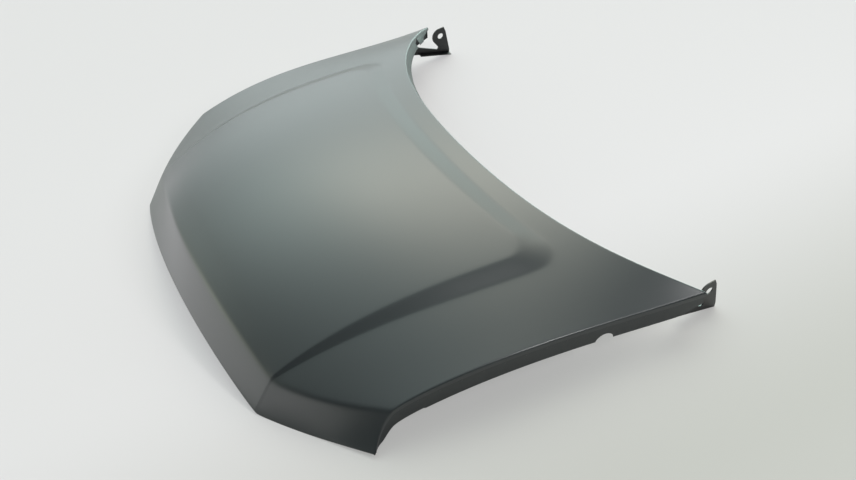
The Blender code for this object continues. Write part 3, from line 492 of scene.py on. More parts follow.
def build_punch():
    rises = {"Field rise, front": FIELD_RISE_FRONT, "Field rise, rear": FIELD_RISE_REAR}
    sizes = {"Nose drop": NOSE_DROP, **rises}
    tree, start = new_tree("Draw over the crown", sizes)
    position = add_node(tree, "GeometryNodeInputPosition")
    split = add_node(tree, "ShaderNodeSeparateXYZ", {0: position.outputs[0]})
    x, y = (Rule(tree, split.outputs[axis]) for axis in "XY")
    drop, rise_front, rise_rear = (Rule(tree, start.outputs[name]) for name in sizes)
    height = raw_height(x, y, drop, rise_front, rise_rear) - floor_drop
    lift = add_node(tree, "ShaderNodeCombineXYZ", {"Z": height.socket}).outputs[0]
    blank = start.outputs["Geometry"]
    drawn = add_node(tree, "GeometryNodeSetPosition", {"Geometry": blank, "Offset": lift})
    whole = add_node(tree, "GeometryNodeRealizeInstances", {0: drawn.outputs[0]})
    end_tree(tree, start, whole.outputs[0])
    return tree


punch = build_punch()
print("nodes in the punch:", len(punch.nodes))

# %% [markdown]
# ## From a blank to a piece
#
# Every pressed sheet goes through the same steps. A Bevel rounds its fold, the punch draws it up, Solidify
# gives it its thickness, and a Boolean cuts it out where there is a cutter. What the modifiers make then
# becomes the piece's own mesh, and that is shifted from the nose to the frame's origin.

# %% Helpers that apply a tree and press a sheet
def new_piece(name, points, faces, edges=()):
    mesh = bpy.data.meshes.new(name)
    mesh.from_pydata([tuple(point) for point in points], edges, faces)
    piece = bpy.data.objects.new(name, mesh)
    bpy.context.scene.collection.objects.link(piece)
    return piece


def add_tree(piece, name, tree, finish):
    """Puts a tree on a piece. A tree's input is set by its socket's identifier."""
    change = piece.modifiers.new(name, "NODES")
    change.node_group = tree
    inputs = [item for item in tree.interface.items_tree if item.in_out == "INPUT"]
    identifiers = {item.name: item.identifier for item in inputs}
    change[identifiers["Finish"]] = finish


def settle(piece):
    """Turns what the modifiers make into the piece's own plain mesh, in its place in the frame."""
    graph = bpy.context.evaluated_depsgraph_get()
    mesh = bpy.data.meshes.new_from_object(piece.evaluated_get(graph))
    piece.modifiers.clear()
    piece.data = mesh
    mesh.transform(Matrix.Translation((0.0, -nose_to_origin, 0.0)))


def press(blank, finish, thickness, cutter=None):
    """Takes a blank through the press. Its fold is the group of that name, or else every sharp edge."""
    fold = blank.modifiers.new("fold radius", "BEVEL")
    fold.width = FOLD_RADIUS
    fold.segments = FOLD_SEGMENTS
    fold.limit_method = "ANGLE"
    fold.angle_limit = FOLD_FROM
    if "fold" in blank.vertex_groups:
        fold.limit_method = "VGROUP"
        fold.vertex_group = "fold"
    add_tree(blank, "draw", punch, finish)
    wall = blank.modifiers.new("sheet", "SOLIDIFY")
    wall.thickness = thickness
    wall.offset = -1.0
    if cutter:
        blank.modifiers.new("cut-outs", "BOOLEAN").object = cutter
    settle(blank)
    blank.data.shade_smooth()
    blank.data.set_sharp_from_angle(angle=SHARP_FROM)
    return blank


def triangles(piece):
    piece.data.calc_loop_triangles()
    return len(piece.data.loop_triangles)


# %% [markdown]
# ## Finishes
#
# Replacement panels are sold dipped in a baked dark primer. It dries to a satin film a few hundredths of a
# millimetre thick, so the steel's form shows through it and only the reflection is softened. Colours are
# written as sRGB hex and turned to linear by one function. All textures lie in the piece's own coordinates.

# %% Colours and the primer
def colour(hexadecimal):
    """A linear colour from an sRGB hex value."""
    channels = [int(hexadecimal[k : k + 2], 16) / 255 for k in (1, 3, 5)]
    linear = [c / 12.92 if c <= 0.04045 else ((c + 0.055) / 1.055) ** 2.4 for c in channels]
    return (*linear, 1.0)


def new_finish(name, base):
    finish = bpy.data.materials.new(name)
    finish.use_nodes = True
    tree = finish.node_tree
    shader = tree.nodes["Principled BSDF"]
    shader.inputs["Base Color"].default_value = colour(base)
    return finish, tree, shader


def own_place(tree):
    """Each point's place in the piece's own coordinates."""
    return add_node(tree, "ShaderNodeTexCoord").outputs["Object"]


def noise(tree, scale, detail):
    inputs = {"Vector": own_place(tree), "Scale": scale, "Detail": detail}
    return add_node(tree, "ShaderNodeTexNoise", inputs).outputs["Fac"]


def vary_roughness(tree, shader, source, low, high):
    tone = add_node(tree, "ShaderNodeMapRange", {"Value": source, "To Min": low, "To Max": high})
    tree.links.new(tone.outputs["Result"], shader.inputs["Roughness"])


def add_grain(tree, shader, height, strength, distance):
    """Fine relief that bends the light but not the form."""
    bump = add_node(tree, "ShaderNodeBump", {"Height": height, "Strength": strength, "Distance": distance})
    tree.links.new(bump.outputs["Normal"], shader.inputs["Normal"])


PRIMER_SPREAD = 0.02
PRIMER_IOR = 1.58
# A finish's noise, by how many times it varies in a metre.
FILM_CLOUDS = 9.0
FILM_RIPPLES = 330.0


def dipped_primer(name, base, roughness):
    """Baked dip primer on pressed steel: satin, with the faint waviness of a film that flowed as it dried."""
    finish, tree, shader = new_finish(name, base)
    cloud = noise(tree, FILM_CLOUDS, detail=3.0)
    vary_roughness(tree, shader, cloud, roughness - PRIMER_SPREAD, roughness + PRIMER_SPREAD)
    # The film's ripples are about 3 mm apart, and only a few thousandths of a millimetre high.
    add_grain(tree, shader, noise(tree, FILM_RIPPLES, detail=1.0), strength=0.05, distance=0.0002)
    shader.inputs["IOR"].default_value = PRIMER_IOR
    return finish


skin_finish = dipped_primer("baked dip primer", "#35383B", 0.29)
frame_finish = dipped_primer("dip primer on the inner frame", "#303335", 0.42)


# %% [markdown]
# ## The outer skin
#
# The skin is one sheet, 0.8 mm thick. Its sides are folded down by 14 mm, its rear edge is folded down and
# slightly back by 10 mm, and its front edge is folded flat inwards, where it stiffens the lip. The grid's
# cells become faces first, and the square hem hangs round them.

# %% Make the outer skin
def skin_blank():
    columns, rows = skin_plan.shape[:2]
    points = [(x, y, 0.0) for column in skin_plan for x, y in column]
    faces = []
    for i in range(columns - 1):
        for j in range(rows - 1):
            a = i * rows + j
            faces.append((a, a + rows, a + rows + 1, a + 1))
    hems = {"side": SIDE_HEM, "rear": REAR_HEM, "front": FRONT_HEM}
    edge = turned_edge(skin_plan)
    first = len(points)
    for _key, kind, place, _mitre, turn in edge:
        points.append(flat_point(place, turn * hems[kind]))
    for n, (key, _kind, _place, _mitre, _turn) in enumerate(edge):
        following = (n + 1) % len(edge)
        here = key[0] * rows + key[1]
        there = edge[following][0][0] * rows + edge[following][0][1]
        faces.append((here, first + n, first + following, there))
    return new_piece("pressed_skin", points, faces)


skin = press(skin_blank(), skin_finish, SKIN_SHEET)
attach(skin, "root")
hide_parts("outer_skin")
print("outer skin:", triangles(skin), "triangles")

# %% [markdown]
# ## The inner frame
#
# The frame is the hidden strength of a bonnet. It is pressed from 0.7 mm sheet into channels that stand
# 24 mm off the skin, with lands that carry the mastic, and openings with round corners that save weight. Its
# edge is turned down at the sides and the rear.

# %% Driving sizes of the inner frame
FRAME_SHEET = 0.0007
FRAME_CLEARANCE = 0.0005
EDGE_STEP = 0.003
LAND_STEP = 0.004
CHANNEL_DEPTH = 0.024
LAND_WIDTH = 0.020
WALL_WIDTH = 0.016
CENTRE_RIB_HALF = 0.018
SIDE_CHANNEL = 0.055
SIDE_WALL = 0.020
FRONT_CHANNEL = 0.052
CROSS_RIB_WIDTH = 0.040
CROSS_RIB_PLACE = 0.46
REAR_CHANNEL_LEAD = 0.010
REAR_WALL = 0.020
FRONT_INSET = 0.008
CORNER_INSET = 0.014
SIDE_FLANGE = 0.062
SIDE_FLANGE_FRONT = 0.058
SIDE_TIP_FLANGE = 0.038
FLANGE_STEP_AT = 0.38
FLANGE_END_LEAD = 0.066
FLANGE_END_DEPTH = 0.028
TIP_FLANGE = 0.009
NOSE_CLEARANCE = 0.009
REAR_FLANGE = 0.037
NOTCH_AT = 0.856
NOTCH_RADIUS = 0.026
NOTCH_RISE = 0.021
NOTCH_REACH = 0.03
REAR_NOTCH_INSET = 0.105
REAR_NOTCH_WIDTH = 0.030
REAR_NOTCH_LEAD = 0.01
OPENING_CORNER = 0.026
BOLT_HOLE_RADIUS = 0.0046
CORNER_STEPS = 6
NOTCH_STEPS = 40
HOLE_STEPS = 24
# How far apart two points lie that give a line its heading.
HEADING_STEP = 0.001

# %% [markdown]
# ## The frame's channels, lands and openings
#
# The frame's blank is laid out like the skin's, with its own lines. Each line has a depth under the skin, and
# the sheet eases from one depth to the next. A point is as deep as the deeper of what its column and its row
# ask for, and a cell is left out where both its column and its row are open.

# %% Lines and depths of the frame's blank
def frame_columns(v):
    """Lines that the frame's columns follow, from the middle to the side."""
    foot = corner_line(v)
    top = foot - slope_width(field_side(plan_y(foot, v))[1])
    side = side_half_width(v)
    inner = CENTRE_RIB_HALF + WALL_WIDTH + LAND_WIDTH
    inner_end = top - WALL_WIDTH - LAND_WIDTH
    rail = side - SIDE_WALL - SIDE_CHANNEL
    # Where there is little room between field and rail, the lands and the opening's corners shrink with it.
    land = np.minimum(LAND_WIDTH, (rail - 2 * WALL_WIDTH - foot) / 4)
    outer, outer_end = foot + WALL_WIDTH + land, rail - WALL_WIDTH - land
    corner = np.minimum(OPENING_CORNER, (outer_end - outer) / 3)
    lines = [0.0, CENTRE_RIB_HALF, CENTRE_RIB_HALF + WALL_WIDTH, inner, inner + OPENING_CORNER]
    lines += [inner_end - OPENING_CORNER, inner_end, top - WALL_WIDTH, top, foot, foot + WALL_WIDTH]
    lines += [outer, outer + corner, outer_end - corner, outer_end, rail - WALL_WIDTH, rail]
    # The straight lines get a value at every v too.
    return [line + 0.0 * v for line in (*lines, side - SIDE_WALL, side)]


def across_rib(offset):
    """The line at an offset behind the middle of the cross rib."""

    def line(x):
        start = crease_line(x)
        return start + (field_rear(x) - SLOPE_WIDTH_REAR - start) * CROSS_RIB_PLACE + offset

    return line


def frame_rows():
    """Each line that the rows follow, with the intervals up to it, its depth, and if they are open."""
    half_rib = CROSS_RIB_WIDTH / 2
    land = half_rib + WALL_WIDTH + LAND_WIDTH
    front = FRONT_CHANNEL + WALL_WIDTH + LAND_WIDTH
    rear = -SLOPE_WIDTH_REAR - REAR_CHANNEL_LEAD - WALL_WIDTH - LAND_WIDTH
    return (
        (crease_line, 8, CHANNEL_DEPTH, False),
        (behind(crease_line, FRONT_CHANNEL), 5, CHANNEL_DEPTH, False),
        (behind(crease_line, FRONT_CHANNEL + WALL_WIDTH), 5, LAND_STEP, False),
        (behind(crease_line, front), 3, LAND_STEP, False),
        (behind(crease_line, front + OPENING_CORNER), 1, 0.0, True),
        (across_rib(-land - OPENING_CORNER), 6, 0.0, True),
        (across_rib(-land), 1, LAND_STEP, True),
        (across_rib(-half_rib - WALL_WIDTH), 3, LAND_STEP, False),
        (across_rib(-half_rib), 5, CHANNEL_DEPTH, False),
        (across_rib(half_rib), 4, CHANNEL_DEPTH, False),
        (across_rib(half_rib + WALL_WIDTH), 5, LAND_STEP, False),
        (across_rib(land), 3, LAND_STEP, False),
        (across_rib(land + OPENING_CORNER), 1, 0.0, True),
        (behind(field_rear, rear - OPENING_CORNER), 8, 0.0, True),
        (behind(field_rear, rear), 1, LAND_STEP, True),
        (behind(field_rear, rear + LAND_WIDTH), 3, LAND_STEP, False),
        (behind(field_rear, rear + LAND_WIDTH + WALL_WIDTH), 5, CHANNEL_DEPTH, False),
        (field_rear, 8, CHANNEL_DEPTH, False),
        (behind(rear_edge, -REAR_WALL), 8, CHANNEL_DEPTH, False),
        (rear_edge, 5, EDGE_STEP, False),
    )


# For each strip between two lines of columns: its cells, the depth at its far end, and if it is open.
FRAME_COLUMN_RULES = (
    (3, CHANNEL_DEPTH, False),
    (5, LAND_STEP, False),
    (3, LAND_STEP, False),
    (1, 0.0, True),
    (6, 0.0, True),
    (1, LAND_STEP, True),
    (3, LAND_STEP, False),
    (5, CHANNEL_DEPTH, False),
    (6, CHANNEL_DEPTH, False),
    (5, LAND_STEP, False),
    (2, LAND_STEP, False),
    (1, 0.0, True),
    (3, 0.0, True),
    (1, LAND_STEP, True),
    (2, LAND_STEP, False),
    (5, CHANNEL_DEPTH, False),
    (5, CHANNEL_DEPTH, False),
    (5, EDGE_STEP, False),
)


def ease(share):
    """Goes from 0 to 1 with a level start and end."""
    return share * share * (3 - 2 * share)


def eased_depths(start, rules):
    """The depth at every line of a grid, from each rule's depth to the next, and the cells' open flags."""
    depths, open_cells = [start], []
    for count, depth, is_open in rules:
        share = np.arange(1, count + 1) / count
        depths += list(depths[-1] + (depth - depths[-1]) * ease(share))
        open_cells += [is_open] * count
    return np.array(depths), open_cells


frame_row_rules = frame_rows()
frame_plan = plan_grid(
    frame_columns,
    [count for count, _depth, _open in FRAME_COLUMN_RULES],
    [(line, count) for line, count, _depth, _open in frame_row_rules],
)
half_depths, half_open = eased_depths(CHANNEL_DEPTH, FRAME_COLUMN_RULES)
row_depths, row_open = eased_depths(EDGE_STEP, [rule[1:] for rule in frame_row_rules])
column_depths = np.concatenate([half_depths[:0:-1], half_depths])
column_open = half_open[::-1] + half_open
print("frame blank:", frame_plan.shape[0], "columns by", frame_plan.shape[1], "rows")

# %% [markdown]
# ## The frame's flange, corners and cut-outs
#
# Round the border the frame rises to just under the skin and turns down into its flange, which is deepest at
# the sides. A fan of faces rounds each corner of an opening. The notches in the flanges and the bolt holes
# are stamped out at the end, which one Boolean does with a single cutter.

# %% Make the inner frame
def frame_depths():
    """Depth under the skin at each grid point, fading to the edge's small step all round the border."""
    first, last = frame_row_rules[0][1], frame_row_rules[-1][1]
    wall = FRAME_COLUMN_RULES[-1][0]
    deep = np.maximum(column_depths[:, None], row_depths[None, :])
    deep[:, :first] = row_depths[first]
    rise = ease(np.arange(wall + 1) / wall)
    fade = np.ones_like(deep)
    fade[:, :first] = np.arange(first) / first
    fade[: wall + 1] *= rise[:, None]
    fade[-wall - 1 :] *= rise[::-1, None]
    fade[:, -last - 1 :] *= rise[None, ::-1]
    return EDGE_STEP + (np.maximum(deep, EDGE_STEP) - EDGE_STEP) * fade


def flange_depth(kind, place):
    """How far the frame's edge is turned down at a place on the outline."""
    full = SIDE_FLANGE_FRONT if place.y < FLANGE_STEP_AT else SIDE_FLANGE
    share = max(place.y - TIP_LENGTH + FLANGE_END_LEAD, 0.0) / FLANGE_END_LEAD
    if kind == "side":
        full += (SIDE_TIP_FLANGE - full) * share
    else:
        full = REAR_FLANGE if share == 0 else FLANGE_END_DEPTH + (TIP_FLANGE - FLANGE_END_DEPTH) * share
    room = height_at(place.x, place.y) - NOSE_CLEARANCE
    return max(min(full, room), EDGE_STEP + FRAME_SHEET)


def grid(i, j):
    """The number of a point of the frame's grid."""
    return i * frame_plan.shape[1] + j


def corner_web(points, faces, i, j):
    """Fills the corner of an opening outside a quarter circle, with faces that fan out from the corner."""
    from_left, from_front = not column_open[i - 1], not row_open[j - 1]
    ci, cj = (i if from_left else i + 1), (j if from_front else j + 1)
    along = 2 * i + 1 - ci
    back = 2 * j + 1 - cj
    corner, a, b = (Vector(points[grid(*key)]) for key in ((ci, cj), (along, cj), (ci, back)))
    arc = [grid(along, cj)]
    for step in range(1, CORNER_STEPS):
        angle = math.pi / 2 * step / CORNER_STEPS
        arc.append(len(points))
        points.append(corner + (a - corner) * (1 - math.sin(angle)) + (b - corner) * (1 - math.cos(angle)))
    arc.append(grid(ci, back))
    if from_left != from_front:
        arc.reverse()
    for here, there in zip(arc, arc[1:]):
        faces.append((grid(ci, cj), here, there))


def frame_cells():
    """The frame's flat grid, with its openings left out and their corners rounded."""
    columns, rows = frame_plan.shape[:2]
    depths = frame_depths().ravel()
    points = [(x, y, -depth) for (x, y), depth in zip(frame_plan.reshape(-1, 2), depths)]
    faces = []
    for i in range(columns - 1):
        for j in range(rows - 1):
            if not (column_open[i] and row_open[j]):
                faces.append((grid(i, j), grid(i + 1, j), grid(i + 1, j + 1), grid(i, j + 1)))
                continue
            beside = column_open[i - 1] and column_open[i + 1]
            before = row_open[j - 1] and row_open[j + 1]
            if not beside and not before:
                corner_web(points, faces, i, j)
    return points, faces


def turn_border(points):
    """Moves the border under the skin's edge, adds the flange's points and says where each pair lies."""
    columns, rows = frame_plan.shape[:2]
    inset = SKIN_SHEET + FRAME_CLEARANCE
    folded = []
    for key, kind, place, mitre, turn in turned_edge(frame_plan):
        is_corner = key[0] in (0, columns - 1) and key[1] in (0, rows - 1)
        base = Vector((*(mitre * -(inset + (CORNER_INSET if is_corner else 0.0))), 0.0))
        here = grid(*key)
        if kind == "front" and not is_corner:
            points[here] = (place.x, place.y + FRONT_INSET, -EDGE_STEP)
            folded.append(None)
            continue
        points[here] = flat_point(place, base + turn * EDGE_STEP)
        if is_corner:
            folded.append(None)
            continue
        folded.append((here, len(points)))
        points.append(flat_point(place, base + turn * flange_depth(kind, place)))
    return folded


def frame_blank():
    points, faces = frame_cells()
    folded = turn_border(points)
    for n, pair in enumerate(folded):
        following = folded[(n + 1) % len(folded)]
        if pair and following:
            faces.append((pair[0], pair[1], following[1], following[0]))
    blank = new_piece("pressed_inner_frame", points, faces)
    fold = blank.vertex_groups.new(name="fold")
    fold.add([pair[0] for pair in folded if pair], 1.0, "REPLACE")
    return blank


def add_prism(points, faces, outline, depth, place):
    """A closed prism: an outline in X and Y, drawn both ways along Z, and then put in place."""
    first, count = len(points), len(outline)
    for z in (-depth, depth):
        points += [place @ Vector((x, y, z)) for x, y in outline]
    faces.append(tuple(range(first + count - 1, first - 1, -1)))
    faces.append(tuple(range(first + count, first + 2 * count)))
    for k in range(count):
        n = (k + 1) % count
        faces.append((first + k, first + n, first + count + n, first + count + k))


def round_outline(radius, steps):
    turns = [2 * math.pi * k / steps for k in range(steps)]
    return [(radius * math.cos(turn), radius * math.sin(turn)) for turn in turns]


def frame_cutter():
    """Everything that is cut out of the frame's sheet: side notches, rear cut-outs and bolt holes."""
    points, faces = [], []
    front = float(front_edge(np.float64(FRONT_HALF_WIDTH)))
    side = float(side_half_width(np.float64((NOTCH_AT - front) / (TIP_LENGTH - front))))
    low = height_at(side, NOTCH_AT) - SIDE_FLANGE + NOTCH_RISE - NOTCH_RADIUS
    x = REAR_HALF_WIDTH - REAR_NOTCH_INSET
    y = float(rear_edge(x))
    heading = math.atan(float(rear_edge(x + HEADING_STEP) - y) / HEADING_STEP)
    skin_z = height_at(x, y)
    top, bottom = skin_z - EDGE_STEP - REAR_HEM, skin_z - REAR_FLANGE - REAR_NOTCH_LEAD
    half = REAR_NOTCH_WIDTH / 2
    slot = [(-half, -REAR_NOTCH_LEAD), (half, -REAR_NOTCH_LEAD), (half, NOTCH_REACH), (-half, NOTCH_REACH)]
    disc = round_outline(NOTCH_RADIUS, NOTCH_STEPS)
    hole = round_outline(BOLT_HOLE_RADIUS, HOLE_STEPS)
    for sign in (-1, 1):
        on_side = Matrix.Translation((sign * side, NOTCH_AT, low)) @ Matrix.Rotation(math.pi / 2, 4, "Y")
        add_prism(points, faces, disc, NOTCH_REACH, on_side)
        middle = Matrix.Translation((sign * x, y, (top + bottom) / 2))
        at_rear = middle @ Matrix.Rotation(sign * heading, 4, "Z")
        add_prism(points, faces, slot, (top - bottom) / 2, at_rear)
    for name in frame["nodes"]:
        if "_bolt_" in name:
            bolt = sum(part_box(name), Vector()) / 2 + Vector((0.0, nose_to_origin, 0.0))
            add_prism(points, faces, hole, NOTCH_REACH / 2, Matrix.Translation(bolt))
    return new_piece("cutter", points, faces)


flat_frame = frame_blank()
cutter = frame_cutter()
inner_frame = press(flat_frame, frame_finish, FRAME_SHEET, cutter)
bpy.data.objects.remove(cutter)
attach(inner_frame, "root")
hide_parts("inner_frame")
print("inner frame:", triangles(inner_frame), "triangles")

# %% [markdown]
# ## Spot welds along the side flanges
#
# The skin and the frame are hemmed together and then spot welded. Each weld leaves a faint round mark, and a
# robot sets them at an even pitch. That is a rule, so a node tree makes them: it takes the line of the seam,
# spaces points along it and puts one mark at each. The pitch and the mark's size are its named inputs.

# %% Make the spot welds
WELD_PITCH = 0.055
WELD_RADIUS = 0.003
WELD_HEIGHT = 0.00025
WELD_DEPTH = 0.020
WELD_ENDS = (0.14, 0.93)
SEAM_POINTS = 30


def build_weld_line():
    sizes = {"Pitch": WELD_PITCH, "Mark radius": WELD_RADIUS, "Mark height": WELD_HEIGHT}
    tree, start = new_tree("Spot weld line", sizes)
    pitch, radius, height = (start.outputs[name] for name in sizes)
    seam = add_node(tree, "GeometryNodeMeshToCurve", {"Mesh": start.outputs["Geometry"]})
    spacing = {"Curve": seam.outputs[0], "Length": pitch}
    spots = add_node(tree, "GeometryNodeCurveToPoints", spacing, mode="LENGTH").outputs["Points"]
    mark = add_node(tree, "GeometryNodeMeshUVSphere", {"Segments": 16, "Rings": 8, "Radius": 1.0})
    flat = add_node(tree, "ShaderNodeCombineXYZ", {0: height, 1: radius, 2: radius})
    marks = {"Points": spots, "Instance": mark.outputs["Mesh"], "Scale": flat.outputs[0]}
    placed = add_node(tree, "GeometryNodeInstanceOnPoints", marks)
    whole = add_node(tree, "GeometryNodeRealizeInstances", {0: placed.outputs[0]})
    round_marks = add_node(tree, "GeometryNodeSetShadeSmooth", {0: whole.outputs[0]})
    end_tree(tree, start, round_marks.outputs[0])
    return tree


def seam_line(sign):
    """Points along the outer face of one side flange, just under the skin's hem."""
    points = []
    inset = SKIN_SHEET + FRAME_CLEARANCE + WELD_DEPTH * math.sin(SIDE_TUMBLE)
    for v in np.linspace(*WELD_ENDS, SEAM_POINTS):
        half = float(side_half_width(np.float64(v)))
        y = float(plan_y(np.float64(half), np.float64(v)))
        points.append((sign * (half - inset), y, height_at(half, y) - WELD_DEPTH))
    return points


weld_line = build_weld_line()
for side, sign in (("left", 1), ("right", -1)):
    line = seam_line(sign)
    steps = [(n, n + 1) for n in range(len(line) - 1)]
    welds = new_piece(f"spot_welds_{side}", line, [], steps)
    add_tree(welds, "welds", weld_line, frame_finish)
    settle(welds)
    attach(welds, "root")
    print(welds.name, triangles(welds), "triangles")

# %% [markdown]
# ## Softened edges on the plates and fasteners
#
# A sheared or forged edge is never perfectly sharp, and paint and zinc draw back from it. A bevel of about
# half a millimetre on each bracket, plate, bolt and nut gives its edges the thin line of light that the eye
# expects there. Its size goes by the piece's name.

# %% Bevel the brackets, plates and fasteners
EDGE_RADII = {"bracket": 0.0006, "plate": 0.0005, "reinforcement": 0.0004, "bolt": 0.0003, "nut": 0.0003}
EDGE_SEGMENTS = 2
for node_name, node in frame["nodes"].items():
    for word, radius in EDGE_RADII.items():
        if word in node_name:
            edge_bevel = node.modifiers.new("softened edges", "BEVEL")
            edge_bevel.width = radius
            edge_bevel.segments = EDGE_SEGMENTS
            edge_bevel.limit_method = "ANGLE"
            edge_bevel.angle_limit = SHARP_FROM
            break

# %% [markdown]
# ## The other finishes
#
# The hinge brackets are bent plate in black paint. The fasteners and the striker are zinc plated, which keeps
# a bright, slightly uneven skin, and the pads are a dark mastic that was squeezed between the sheets while it
# was soft.

# %% Finishes of the small pieces
PAINT_GRAINS = 400.0
ZINC_CRYSTALS = 900.0
ZINC_ROUGHNESS = (0.28, 0.4)
MASTIC_LUMPS = 250.0


def black_paint():
    """Baked black paint on thick plate: darker than the primer, with a fine grain."""
    finish, tree, shader = new_finish("baked black paint", "#1C1D1E")
    add_grain(tree, shader, noise(tree, PAINT_GRAINS, detail=2.0), strength=0.15, distance=0.0003)
    shader.inputs["Roughness"].default_value = 0.32
    return finish


def zinc_plate():
    """Zinc plating on steel: a bright metal whose crystals scatter a little."""
    finish, tree, shader = new_finish("zinc plated steel", "#C9CBC8")
    crystals = add_node(tree, "ShaderNodeTexVoronoi", {"Vector": own_place(tree), "Scale": ZINC_CRYSTALS})
    vary_roughness(tree, shader, crystals.outputs["Distance"], *ZINC_ROUGHNESS)
    shader.inputs["Metallic"].default_value = 1.0
    return finish


def mastic():
    """Cured mastic: matt and slightly lumpy."""
    finish, tree, shader = new_finish("cured mastic", "#2A2A2B")
    add_grain(tree, shader, noise(tree, MASTIC_LUMPS, detail=2.0), strength=0.4, distance=0.0005)
    shader.inputs["Roughness"].default_value = 0.8
    return finish


finishes = {
    "satin_primer": skin_finish,
    "primed_sheet": frame_finish,
    "black_paint": black_paint(),
    "zinc_plate": zinc_plate(),
    "mastic": mastic(),
}
for entry in frame["record"]["subparts"]:
    node = frame["nodes"][entry["node"]]
    for slot in node.material_slots:
        slot.material = finishes[entry["material_slot"]]
print("finishes:", ", ".join(finishes))

# %% [markdown]
# ## The stage
#
# The panel lies on pale seamless paper in a studio. Satin paint shows its form by the gradient it mirrors, so
# each light is a smooth patch on the studio's wall: a warm one high up, a cool one beside it, and lower ones
# beyond the panel and in front of its nose. Between them the panel stays dark. One narrow lamp stands near
# the camera.

# %% Floor, world, lights and camera
FLOOR_SIZE = 30.0
# The paper's colour is painted darker toward the near side and lighter toward the far side, along X between
# two places, as painted shade and light, and its base colour is a share of that colour.
FLOOR_NEAR = 1.1
FLOOR_FAR = 0.2
PAPER_NEAR_PAINTED_SHADE = "#C6C7C2"
PAPER_FAR_PAINTED_LIGHT = "#E8E7E8"
PAPER_SHARE = (0.67, 0.64, 0.66)
# What share of the paper is painted light, a glow in its own colour, where the camera sees it, and where the
# panel mirrors it. In the mirror it counts only in front of the nose, from one place in Y to the other, where
# it is also brighter, as a painted reflection on the panel.
GLOW_SEEN = 0.5
GLOW_MIRRORED = 0.8
GLOW_GAIN = 1.7
FRONT_GLOW = (-0.55, -0.80)
BACKDROP = "#E2E5E3"
# The colour sockets of a Mix node share their names with others, so they go by number.
MIX_A, MIX_B, MIX_RESULT = 6, 7, 2
# The camera was set up so that the corners of the panel fall where the photograph shows them.
PHOTO_WIDTH = 856
CAMERA_FOCUS_PX = 950
CAMERA_YAW = math.radians(27.52)
CAMERA_TILT = math.radians(43.79)
CAMERA_ROLL = math.radians(1.7)
CAMERA_FROM_NOSE = (1.8134, -0.2036, 1.8438)
SENSOR_WIDTH = 36.0
LAMP_PLACE = (2.4, 1.4, 2.6)
LAMP_TARGET = (0.4, 0.2, 0.2)
LAMP_SIZE = (0.12, 1.2)
LAMP_POWER = 40.0
# Each patch of light: elevation and azimuth of its middle, how fast it fades, and its linear colour.
LIGHT_PATCHES = {
    "key": ((49.6, 136.5), 15.6, (4.5, 4.3, 3.65)),
    "ceiling": ((53.8, 184.0), 6.0, (2.7, 3.25, 3.1)),
    "wall": ((3.8, 162.0), 5.5, (1.8, 1.95, 1.95)),
    "far strip": ((2.6, 118.6), 27.5, (7.4, 10.4, 9.6)),
    "low front": ((2.2, 240.6), 12.4, (2.5, 2.65, 2.2)),
}


def mix_colours(tree, factor, near, far):
    inputs = {"Factor": factor, MIX_A: near, MIX_B: far}
    return add_node(tree, "ShaderNodeMix", inputs, data_type="RGBA").outputs[MIX_RESULT]


def share_between(tree, value, ends, **settings):
    """How far a value has come from one end to the other, from 0 to 1."""
    inputs = {"Value": value, "From Min": ends[0], "From Max": ends[1]}
    return add_node(tree, "ShaderNodeMapRange", inputs, **settings).outputs["Result"]


def make_floor():
    """A sheet of pale paper, its colour painted darker toward the near side. Half of what the camera sees of
    it is painted light, a glow in the paper's own colour, so that shadows stay soft.
    """
    half = FLOOR_SIZE / 2
    corners = [(-half, -half, 0), (half, -half, 0), (half, half, 0), (-half, half, 0)]
    floor = new_piece("floor", corners, [(0, 1, 2, 3)])
    finish, tree, shader = new_finish("seamless paper with painted shade and glow", PAPER_FAR_PAINTED_LIGHT)
    split = add_node(tree, "ShaderNodeSeparateXYZ", {0: own_place(tree)})
    # Painted shade: the paper's colour goes from darker at the near side to lighter at the far side, in place
    # of how the light falls off.
    far = share_between(tree, split.outputs["X"], (FLOOR_NEAR, FLOOR_FAR), interpolation_type="SMOOTHSTEP")
    tone = mix_colours(tree, far, colour(PAPER_NEAR_PAINTED_SHADE), colour(PAPER_FAR_PAINTED_LIGHT))
    paper = add_node(tree, "ShaderNodeVectorMath", {0: tone, 1: PAPER_SHARE}, operation="MULTIPLY")
    tree.links.new(paper.outputs[0], shader.inputs["Base Color"])
    shader.inputs["Roughness"].default_value = 0.9
    # Painted light: the paper glows in its own colour, which lightens its shadow where the camera sees it and
    # brightens its reflection in the panel in front of the nose.
    path = add_node(tree, "ShaderNodeLightPath")
    front = share_between(tree, split.outputs["Y"], FRONT_GLOW)
    mirrored = Rule(tree, path.outputs["Is Glossy Ray"]) * Rule(tree, front)
    strength = mirrored * GLOW_GAIN + 1.0
    glow = add_node(tree, "ShaderNodeEmission", {"Color": tone, "Strength": strength.socket})
    share = Rule(tree, path.outputs["Is Camera Ray"]) * GLOW_SEEN + mirrored * GLOW_MIRRORED
    both = add_node(tree, "ShaderNodeMixShader", {0: share.socket, 1: shader.outputs[0], 2: glow.outputs[0]})
    tree.links.new(both.outputs[0], tree.nodes["Material Output"].inputs["Surface"])
    floor.data.materials.append(finish)


def toward(elevation, azimuth):
    """The unit vector at an elevation above the floor and an azimuth from +X, both in degrees."""
    up, round_z = math.radians(elevation), math.radians(azimuth)
    return (math.cos(up) * math.cos(round_z), math.cos(up) * math.sin(round_z), math.sin(up))


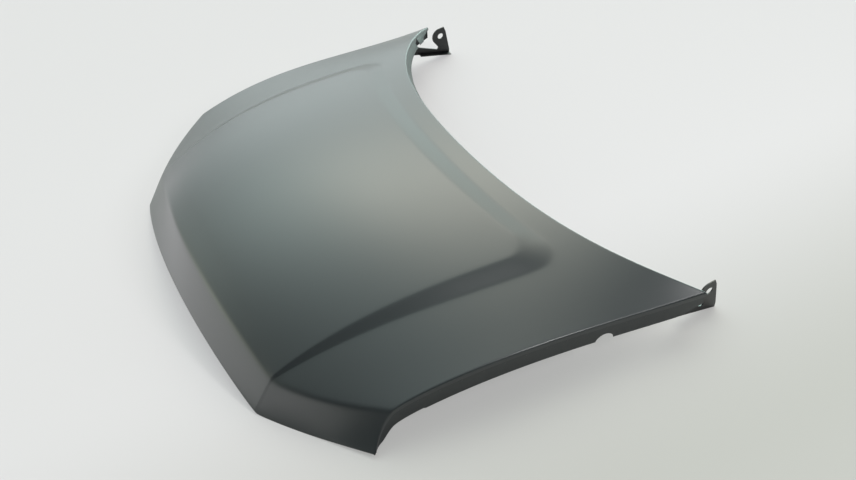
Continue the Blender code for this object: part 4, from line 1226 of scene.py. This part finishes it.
def soft_patch(tree, direction, place, sharpness, tint):
    """Light on the studio's wall that is brightest at a place and fades smoothly round it."""
    directions = {0: direction, 1: toward(*place)}
    closeness = add_node(tree, "ShaderNodeVectorMath", directions, operation="DOT_PRODUCT")
    fade = ((Rule(tree, closeness.outputs["Value"]) - 1.0) * sharpness).math("EXPONENT")
    patch = add_node(tree, "ShaderNodeVectorMath", {0: tint, "Scale": fade.socket}, operation="SCALE")
    return patch.outputs[0]


def make_world():
    world = bpy.data.worlds.new("studio")
    world.use_nodes = True
    bpy.context.scene.world = world
    tree = world.node_tree
    back = tree.nodes["Background"]
    where = add_node(tree, "ShaderNodeTexCoord").outputs["Generated"]
    light = (0.0, 0.0, 0.0)
    for place, sharpness, tint in LIGHT_PATCHES.values():
        patch = soft_patch(tree, where, place, sharpness, tint)
        light = add_node(tree, "ShaderNodeVectorMath", {0: light, 1: patch}, operation="ADD").outputs[0]
    path = add_node(tree, "ShaderNodeLightPath")
    seen = mix_colours(tree, path.outputs["Is Camera Ray"], light, colour(BACKDROP))
    tree.links.new(seen, back.inputs["Color"])
    back.inputs["Strength"].default_value = 1.0


def make_lamp():
    lamp = bpy.data.lights.new("strip beside the camera", "AREA")
    lamp.shape = "RECTANGLE"
    lamp.size, lamp.size_y = LAMP_SIZE
    lamp.energy = LAMP_POWER
    holder = bpy.data.objects.new("strip beside the camera", lamp)
    holder.location = LAMP_PLACE
    holder.rotation_euler = (Vector(LAMP_TARGET) - Vector(LAMP_PLACE)).to_track_quat("-Z", "Y").to_euler()
    bpy.context.scene.collection.objects.link(holder)


def make_camera():
    data = bpy.data.cameras.new("camera")
    data.sensor_width = SENSOR_WIDTH
    data.lens = CAMERA_FOCUS_PX / PHOTO_WIDTH * data.sensor_width
    camera = bpy.data.objects.new("camera", data)
    along = Vector((-math.cos(CAMERA_YAW), math.sin(CAMERA_YAW), 0.0))
    up = Vector((0.0, 0.0, 1.0))
    forward = along * math.cos(CAMERA_TILT) - up * math.sin(CAMERA_TILT)
    right = along.cross(up)
    down = forward.cross(right)
    turned_right = right * math.cos(CAMERA_ROLL) + down * math.sin(CAMERA_ROLL)
    turned_down = down * math.cos(CAMERA_ROLL) - right * math.sin(CAMERA_ROLL)
    turn = Matrix((turned_right, -turned_down, -forward)).transposed().to_4x4()
    place = Vector(CAMERA_FROM_NOSE) - Vector((0.0, nose_to_origin, 0.0))
    camera.matrix_world = Matrix.Translation(place) @ turn
    bpy.context.scene.collection.objects.link(camera)
    bpy.context.scene.camera = camera


make_floor()
make_world()
make_lamp()
make_camera()
bpy.context.scene.view_settings.view_transform = "Standard"
